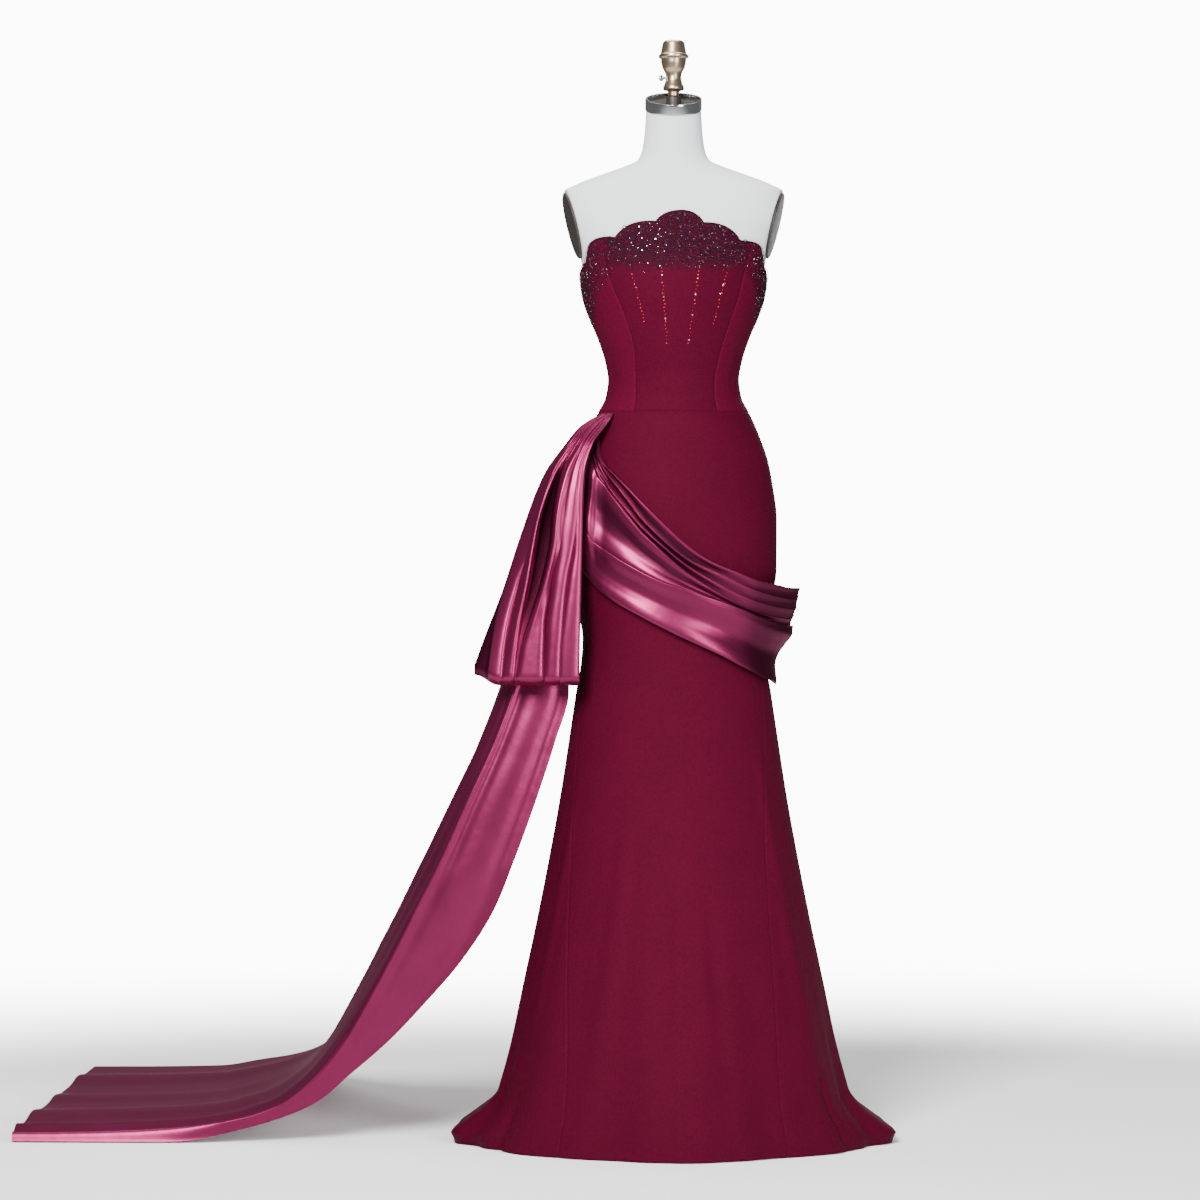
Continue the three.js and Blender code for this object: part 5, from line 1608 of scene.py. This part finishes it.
class Finish:
    """A material with its node tree."""

    def __init__(self, name):
        self.material = bpy.data.materials.new(name)
        self.material.use_nodes = True
        self.tree = self.material.node_tree
        self.tree.nodes.clear()

    def node(self, kind, settings=None, inputs=None, out=0):
        pairs = (inputs or {}).items()
        given = {key: value.socket if isinstance(value, Shade) else value for key, value in pairs}
        made = add_node(self.tree, "ShaderNode" + kind, settings, given)
        return Shade(self, made.outputs[out]) if made.outputs else None

    def place(self, scale=(1, 1, 1), uv=False):
        """Object or UV coordinates, scaled."""
        spot = self.node("TexCoord", out="UV" if uv else "Object")
        return self.node("Mapping", inputs={"Vector": spot, "Scale": scale})

    def noise(self, size, detail, place=None, roughness=0.5):
        """Noise from 0 to 1 whose lumps are about `size` metres."""
        spot = place or self.place()
        inputs = {"Vector": spot, "Scale": 1 / size, "Detail": detail, "Roughness": roughness}
        return self.node("TexNoise", inputs=inputs)

    def ribs(self, way, scale, distortion):
        """Knit ribs that follow each other along an axis."""
        settings = {"wave_type": "BANDS", "bands_direction": way}
        inputs = {"Vector": self.place(), "Scale": scale, "Distortion": distortion, "Detail": 1.0}
        return self.node("TexWave", settings, inputs)

    def colour(self, factor, low, high):
        """A colour between two, each an RGB or a link."""
        low, high = (c if isinstance(c, Shade) else (*c, 1) for c in (low, high))
        return self.node("Mix", {"data_type": "RGBA"}, {0: factor, 6: low, 7: high}, out=2)

    def bump(self, height, depth, strength, normal=None):
        inputs = {"Height": height, "Distance": depth, "Strength": strength}
        if normal is not None:
            inputs["Normal"] = normal
        return self.node("Bump", inputs=inputs)

    def surface(self, **sockets):
        """Ends the finish in a Principled shader and gives the material."""
        inputs = {}
        for key, value in sockets.items():
            label = key.replace("_", " ").title().replace("Ior", "IOR")
            inputs[label] = (*value, 1) if isinstance(value, tuple) else value
        shader = self.node("BsdfPrincipled", inputs=inputs)
        self.node("OutputMaterial", inputs={"Surface": shader})
        return self.material


def shaded(colour, by):
    return tuple(min(1.0, c * by) for c in colour)


def crepe_finish(name, colour):
    """Matt crepe: a fine pebbled grain with random mottling, whose darker pits are painted shade."""
    f = Finish(name)
    grain, broad = f.noise(0.0011, 3, roughness=0.65), f.noise(0.06, 2)
    pebble = f.noise(0.0034, 2)
    # painted shade: the fine grain also gives the bump, so the colour is darker in its low pits; the pebble
    # and broad noise are random tone
    fleck_and_pit_shade = (grain - 0.5) * 0.9 + (pebble - 0.5) * 1.1 + (broad - 0.5) * 0.35 + 0.5
    base = f.colour(fleck_and_pit_shade, shaded(colour, 0.72), shaded(colour, 1.3))
    beaded = f.node("Attribute", {"attribute_name": "beaded"}, out="Fac")
    base = f.colour(beaded, base, BEADED_COLOUR)
    return f.surface(
        base_color=base, roughness=0.62 + 0.16 * grain, specular_ior_level=0.1, specular_tint=(1, 0.4, 0.55),
        normal=f.bump(grain, 0.0004, 0.5),
    )


def satin_finish(colour):
    """Duchess satin: a close smooth face with fine threads, a soft gloss, and painted shadow in its folds,
    under the loop and where it rolls away.
    """
    f = Finish("Burgundy satin")
    threads = f.noise(0.0005, 1, f.place((1, 6, 1), uv=True))
    broad = f.noise(0.05, 3)
    base = f.colour(0.2 * threads + 0.8 * broad, shaded(colour, 0.85), shaded(colour, 1.15))
    painted_shade = f.node("Attribute", {"attribute_name": "painted_shade"}, out="Fac")
    # painted shade: the colour goes towards a tenth of the satin's as far as the points' shade value says
    base = f.colour(painted_shade * 0.8, base, shaded(colour, 0.1))
    waviness = f.noise(0.035, 2)
    normal = f.bump(threads, 0.00002, 0.4, f.bump(waviness, 0.002, 0.3))
    return f.surface(
        base_color=base, roughness=0.3 + 0.08 * broad, metallic=0.82, specular_ior_level=0.5,
        specular_tint=(1, 0.6, 0.75), normal=normal,
    )


def cover_finish(colour):
    """The form's white knit cover."""
    f = Finish("White knit cover")
    knit = f.ribs("X", 160.0, 0.6) * 0.5 + f.ribs("Z", 220.0, 0.8) * 0.5
    soft = f.noise(0.12, 2)
    return f.surface(
        base_color=f.colour(0.5 * knit + 0.5 * soft, shaded(colour, 0.96), shaded(colour, 1.03)),
        roughness=0.72 + 0.1 * knit, specular_ior_level=0.3, sheen_weight=0.1,
        normal=f.bump(knit, 0.0002, 0.25),
    )


def metal_finish(name, colour, roughness, wear=0.1, metallic=1.0):
    """Polished or lacquered metal with faint brushing and handling marks."""
    f = Finish(name)
    brushed = f.noise(0.0009, 2, f.place((1, 1, 9)))
    smudge = f.noise(0.012, 3)
    base = f.colour(smudge, shaded(colour, 1 - wear), shaded(colour, 1 + wear))
    rough = roughness * 0.8 + (0.25 * roughness) * brushed + (0.25 * roughness) * smudge
    normal = f.bump(brushed, 0.00003, 0.4)
    return f.surface(base_color=base, metallic=metallic, roughness=rough, normal=normal)


def plastic_finish(name, colour, roughness):
    """Moulded plastic with a fine grain and faint smudges."""
    f = Finish(name)
    grain, smudge = f.noise(0.0008, 2), f.noise(0.02, 2)
    base = f.colour(smudge, shaded(colour, 0.85), shaded(colour, 1.2))
    normal = f.bump(grain, 0.00008, 0.35)
    return f.surface(base_color=base, roughness=roughness + 0.1 * smudge, normal=normal)


def glass_finish(name, colour, foil, coat=0.1, shine=0.5, rough=0.17):
    """Glossy beads and stones, each a little different. foil: how much they mirror."""
    f = Finish(name)
    varied = f.noise(0.004, 1)
    base = f.colour(varied, shaded(colour, 0.6), shaded(colour, 1.4))
    return f.surface(
        base_color=base, metallic=foil, roughness=rough + 0.14 * varied, specular_ior_level=shine,
        coat_weight=coat, coat_roughness=0.04,
    )


def make_finishes(looks):
    """The finishes by name, some of which share a record slot."""
    dull = {"coat": 0.0, "shine": 0.3, "rough": 0.32}
    return {
        "crepe": crepe_finish("Burgundy crepe", tuple(looks.crepe)),
        # painted sheen: a lighter copy of the crepe for the panels cut on the cross, standing in for the
        # light their grain catches
        "crepe_side": crepe_finish("Burgundy crepe with painted cross-grain sheen", shaded(looks.crepe, 1.3)),
        "satin": satin_finish(tuple(looks.satin)),
        "form_cover": cover_finish(tuple(looks.cover)),
        "chrome": metal_finish("Polished chrome", (0.72, 0.74, 0.76), 0.14, wear=0.05),
        "finial_brass": metal_finish("Champagne brass", tuple(looks.brass), 0.3),
        "dark_plate": plastic_finish("Dark moulded plate", (0.035, 0.026, 0.022), 0.42),
        "base_iron": metal_finish("Black enamel", (0.025, 0.025, 0.027), 0.4, wear=0.2, metallic=0.3),
        "zip_nylon": plastic_finish("Burgundy zip", (0.06, 0.002, 0.014), 0.5),
        "jet": glass_finish("Jet glass", (0.010, 0.002, 0.005), 0.0, **dull),
        "plum_glass": glass_finish("Plum glass", (0.022, 0.002, 0.009), 0.1, **dull),
        "red_glass": glass_finish("Red glass", (0.34, 0.005, 0.012), 0.15, shine=0.4),
        "ruby_glass": glass_finish("Ruby glass", (0.75, 0.03, 0.02), 0.2),
        "plum_foil": glass_finish("Plum foil", (0.034, 0.003, 0.015), 0.7, coat=0.0, shine=0.3, rough=0.38),
        "crystal": glass_finish("Clear crystal", (0.86, 0.86, 0.92), 0.9),
        "lilac_crystal": glass_finish("Lilac crystal", (0.55, 0.4, 0.72), 0.9),
        "rose_crystal": glass_finish("Rose crystal", (0.9, 0.55, 0.5), 0.85),
    }


# ---- the stage -----------------------------------------------------------------------------------
def aimed(lamp, at, aim):
    lamp.location = at
    lamp.rotation_euler = (Vector(aim) - Vector(at)).to_track_quat("-Z", "Y").to_euler()


def area_light(name, at, aim, size, watts):
    data = bpy.data.lights.new(name, "AREA")
    data.shape, data.energy = "RECTANGLE", watts
    data.size, data.size_y = size
    aimed(link(name, data), at, aim)


def train_spot(watts):
    """A soft spot that lights the train from the right of the camera."""
    data = bpy.data.lights.new("train", "SPOT")
    data.energy, data.spot_size = watts, radians(TRAIN_SPOT["wide"])
    data.spot_blend, data.shadow_soft_size = TRAIN_SPOT["blend"], TRAIN_SPOT["soft"]
    aimed(link("train_spot", data), TRAIN_SPOT["at"], TRAIN_SPOT["aim"])


def build_world(sizes):
    """Dim light from all round, and behind it a white backdrop that only the camera sees."""
    world = bpy.data.worlds.new("Studio")
    bpy.context.scene.world = world
    world.use_nodes = True
    tree = world.node_tree
    seen = tree.nodes.new("ShaderNodeLightPath").outputs["Is Camera Ray"]
    inputs = {"Value": seen, "To Min": sizes.ambient, "To Max": sizes.backdrop}
    strength = add_node(tree, "ShaderNodeMapRange", inputs=inputs).outputs["Result"]
    back = tree.nodes["Background"]
    back.inputs["Color"].default_value = (0.97, 0.98, 1, 1)
    tree.links.new(strength, back.inputs["Strength"])


def floor_finish():
    """A pale floor that clears away into the backdrop with distance."""
    f = Finish("Pale floor")
    mottle = f.noise(0.4, 3)
    paint = {"Color": f.colour(mottle, (0.9, 0.9, 0.91), (0.94, 0.94, 0.94)), "Roughness": 0.8}
    far = f.node("VectorMath", {"operation": "LENGTH"}, {0: f.place((0.8, 1, 0))}, out="Value")
    clear = far.between(*FLOOR_CLEARS)
    inputs = {0: clear, 1: f.node("BsdfDiffuse", inputs=paint), 2: f.node("BsdfTransparent")}
    f.node("OutputMaterial", inputs={"Surface": f.node("MixShader", inputs=inputs)})
    return f.material


def build_camera():
    camera = bpy.data.cameras.new("camera")
    camera.sensor_width = CAMERA["sensor"]
    camera.lens = camera.sensor_width * CAMERA["distance"] / CAMERA["frame"]
    camera.clip_end = CAMERA["far"]
    seen = link("camera", camera)
    seen.location = (CAMERA["x"], -CAMERA["distance"], CAMERA["z"])
    seen.rotation_euler = (pi / 2, 0, 0)
    bpy.context.scene.camera = seen


def build_stage(sizes):
    corners = [(x * FLOOR_HALF, y * FLOOR_HALF, 0) for x, y in ((-1, -1), (1, -1), (1, 1), (-1, 1))]
    floor = link("floor", mesh_of("floor", corners, [(0, 1, 2, 3)]))
    finish_with(floor, floor_finish())
    build_world(sizes)
    for name, at, aim, size, share in LIGHTS:
        area_light(name, at, aim, size, sizes.key_watts * share)
    train_spot(sizes.train_watts)
    build_camera()


# ---- the add-on ----------------------------------------------------------------------------------
def colour_setting(name, of, default):
    text = "Colour of the " + of
    return FloatVectorProperty(name=name, description=text, default=default, subtype="COLOR", min=0, max=1)


def light_setting(name, text, default, unit="NONE"):
    return FloatProperty(name=name, description=text, default=default, min=0, unit=unit)


class GownLooks(bpy.types.PropertyGroup):
    crepe: colour_setting("Crepe", "crepe", (0.066, 0.0016, 0.0136))
    satin: colour_setting("Satin", "satin", (0.23, 0.02, 0.08))
    cover: colour_setting("Form cover", "form's knit cover", (0.93, 0.945, 0.975))
    brass: colour_setting("Brass", "turned finial", (0.62, 0.48, 0.33))


class StageSizes(bpy.types.PropertyGroup):
    ambient: light_setting("Ambient", "Strength of the light from all round", 0.16)
    backdrop: light_setting("Backdrop", "Brightness of the white behind", 12)
    train_watts: light_setting("Train light", "Power of the spot on the train", 225, "POWER")
    key_watts: light_setting("Key light", "Power of the main light", 300, "POWER")


FINISHES = {}


def finishes_of(scene):
    """The finishes by name, made once."""
    if not FINISHES:
        FINISHES.update(make_finishes(scene.gown_looks))
    return FINISHES


class PartBuilder:
    """What the operators share that build a part of the gown in its finishes."""

    def execute(self, context):
        self.build(finishes_of(context.scene))
        return {"FINISHED"}


class GOWN_OT_form(PartBuilder, bpy.types.Operator):
    """Build the dress form, its neck fittings and its stand"""

    bl_idname = "gown.form"
    bl_label = "Dress Form"
    build = staticmethod(build_form)


class GOWN_OT_crepe(PartBuilder, bpy.types.Operator):
    """Build the bodice and skirt panels"""

    bl_idname = "gown.crepe"
    bl_label = "Crepe Gown"
    build = staticmethod(build_crepe)


class GOWN_OT_drape(PartBuilder, bpy.types.Operator):
    """Build the pleated satin drape round the hips"""

    bl_idname = "gown.drape"
    bl_label = "Hip Drape"
    build = staticmethod(build_drape)


class GOWN_OT_loop(PartBuilder, bpy.types.Operator):
    """Build the pleated satin loop at the hip"""

    bl_idname = "gown.loop"
    bl_label = "Bow Loop"
    build = staticmethod(build_loop)


class GOWN_OT_train(PartBuilder, bpy.types.Operator):
    """Build the satin train down to the floor"""

    bl_idname = "gown.train"
    bl_label = "Train"
    build = staticmethod(build_train)


class GOWN_OT_beading(PartBuilder, bpy.types.Operator):
    """Sew on the bodice's beads, sequins, stones and drips"""

    bl_idname = "gown.beading"
    bl_label = "Beading"
    build = staticmethod(build_beading)


class GOWN_OT_stage(bpy.types.Operator):
    """Build the floor, the lights and the camera"""

    bl_idname = "gown.stage"
    bl_label = "Stage"

    def execute(self, context):
        build_stage(context.scene.gown_stage)
        return {"FINISHED"}


class GOWN_PT_panel(bpy.types.Panel):
    """The gown's parts, in the 3D view's sidebar"""

    bl_label = "Evening Gown"
    bl_space_type = "VIEW_3D"
    bl_region_type = "UI"
    bl_category = "Gown"

    def draw(self, context):
        column = self.layout.column(align=True)
        for operator in OPERATORS:
            column.operator(operator.bl_idname)
        for group in (context.scene.gown_looks, context.scene.gown_stage):
            for name in group.__annotations__:
                self.layout.prop(group, name)


OPERATORS = (
    GOWN_OT_stage, GOWN_OT_form, GOWN_OT_crepe, GOWN_OT_beading, GOWN_OT_drape, GOWN_OT_loop, GOWN_OT_train,
)
CLASSES = (GownLooks, StageSizes, *OPERATORS, GOWN_PT_panel)


def register():
    for made in CLASSES:
        bpy.utils.register_class(made)
    bpy.types.Scene.gown_looks = PointerProperty(type=GownLooks)
    bpy.types.Scene.gown_stage = PointerProperty(type=StageSizes)


def unregister():
    del bpy.types.Scene.gown_looks, bpy.types.Scene.gown_stage
    for made in reversed(CLASSES):
        bpy.utils.unregister_class(made)


def main():
    register()
    for operator in OPERATORS:
        group, name = operator.bl_idname.split(".")
        getattr(getattr(bpy.ops, group), name)()


if __name__ == "__main__":
    main()
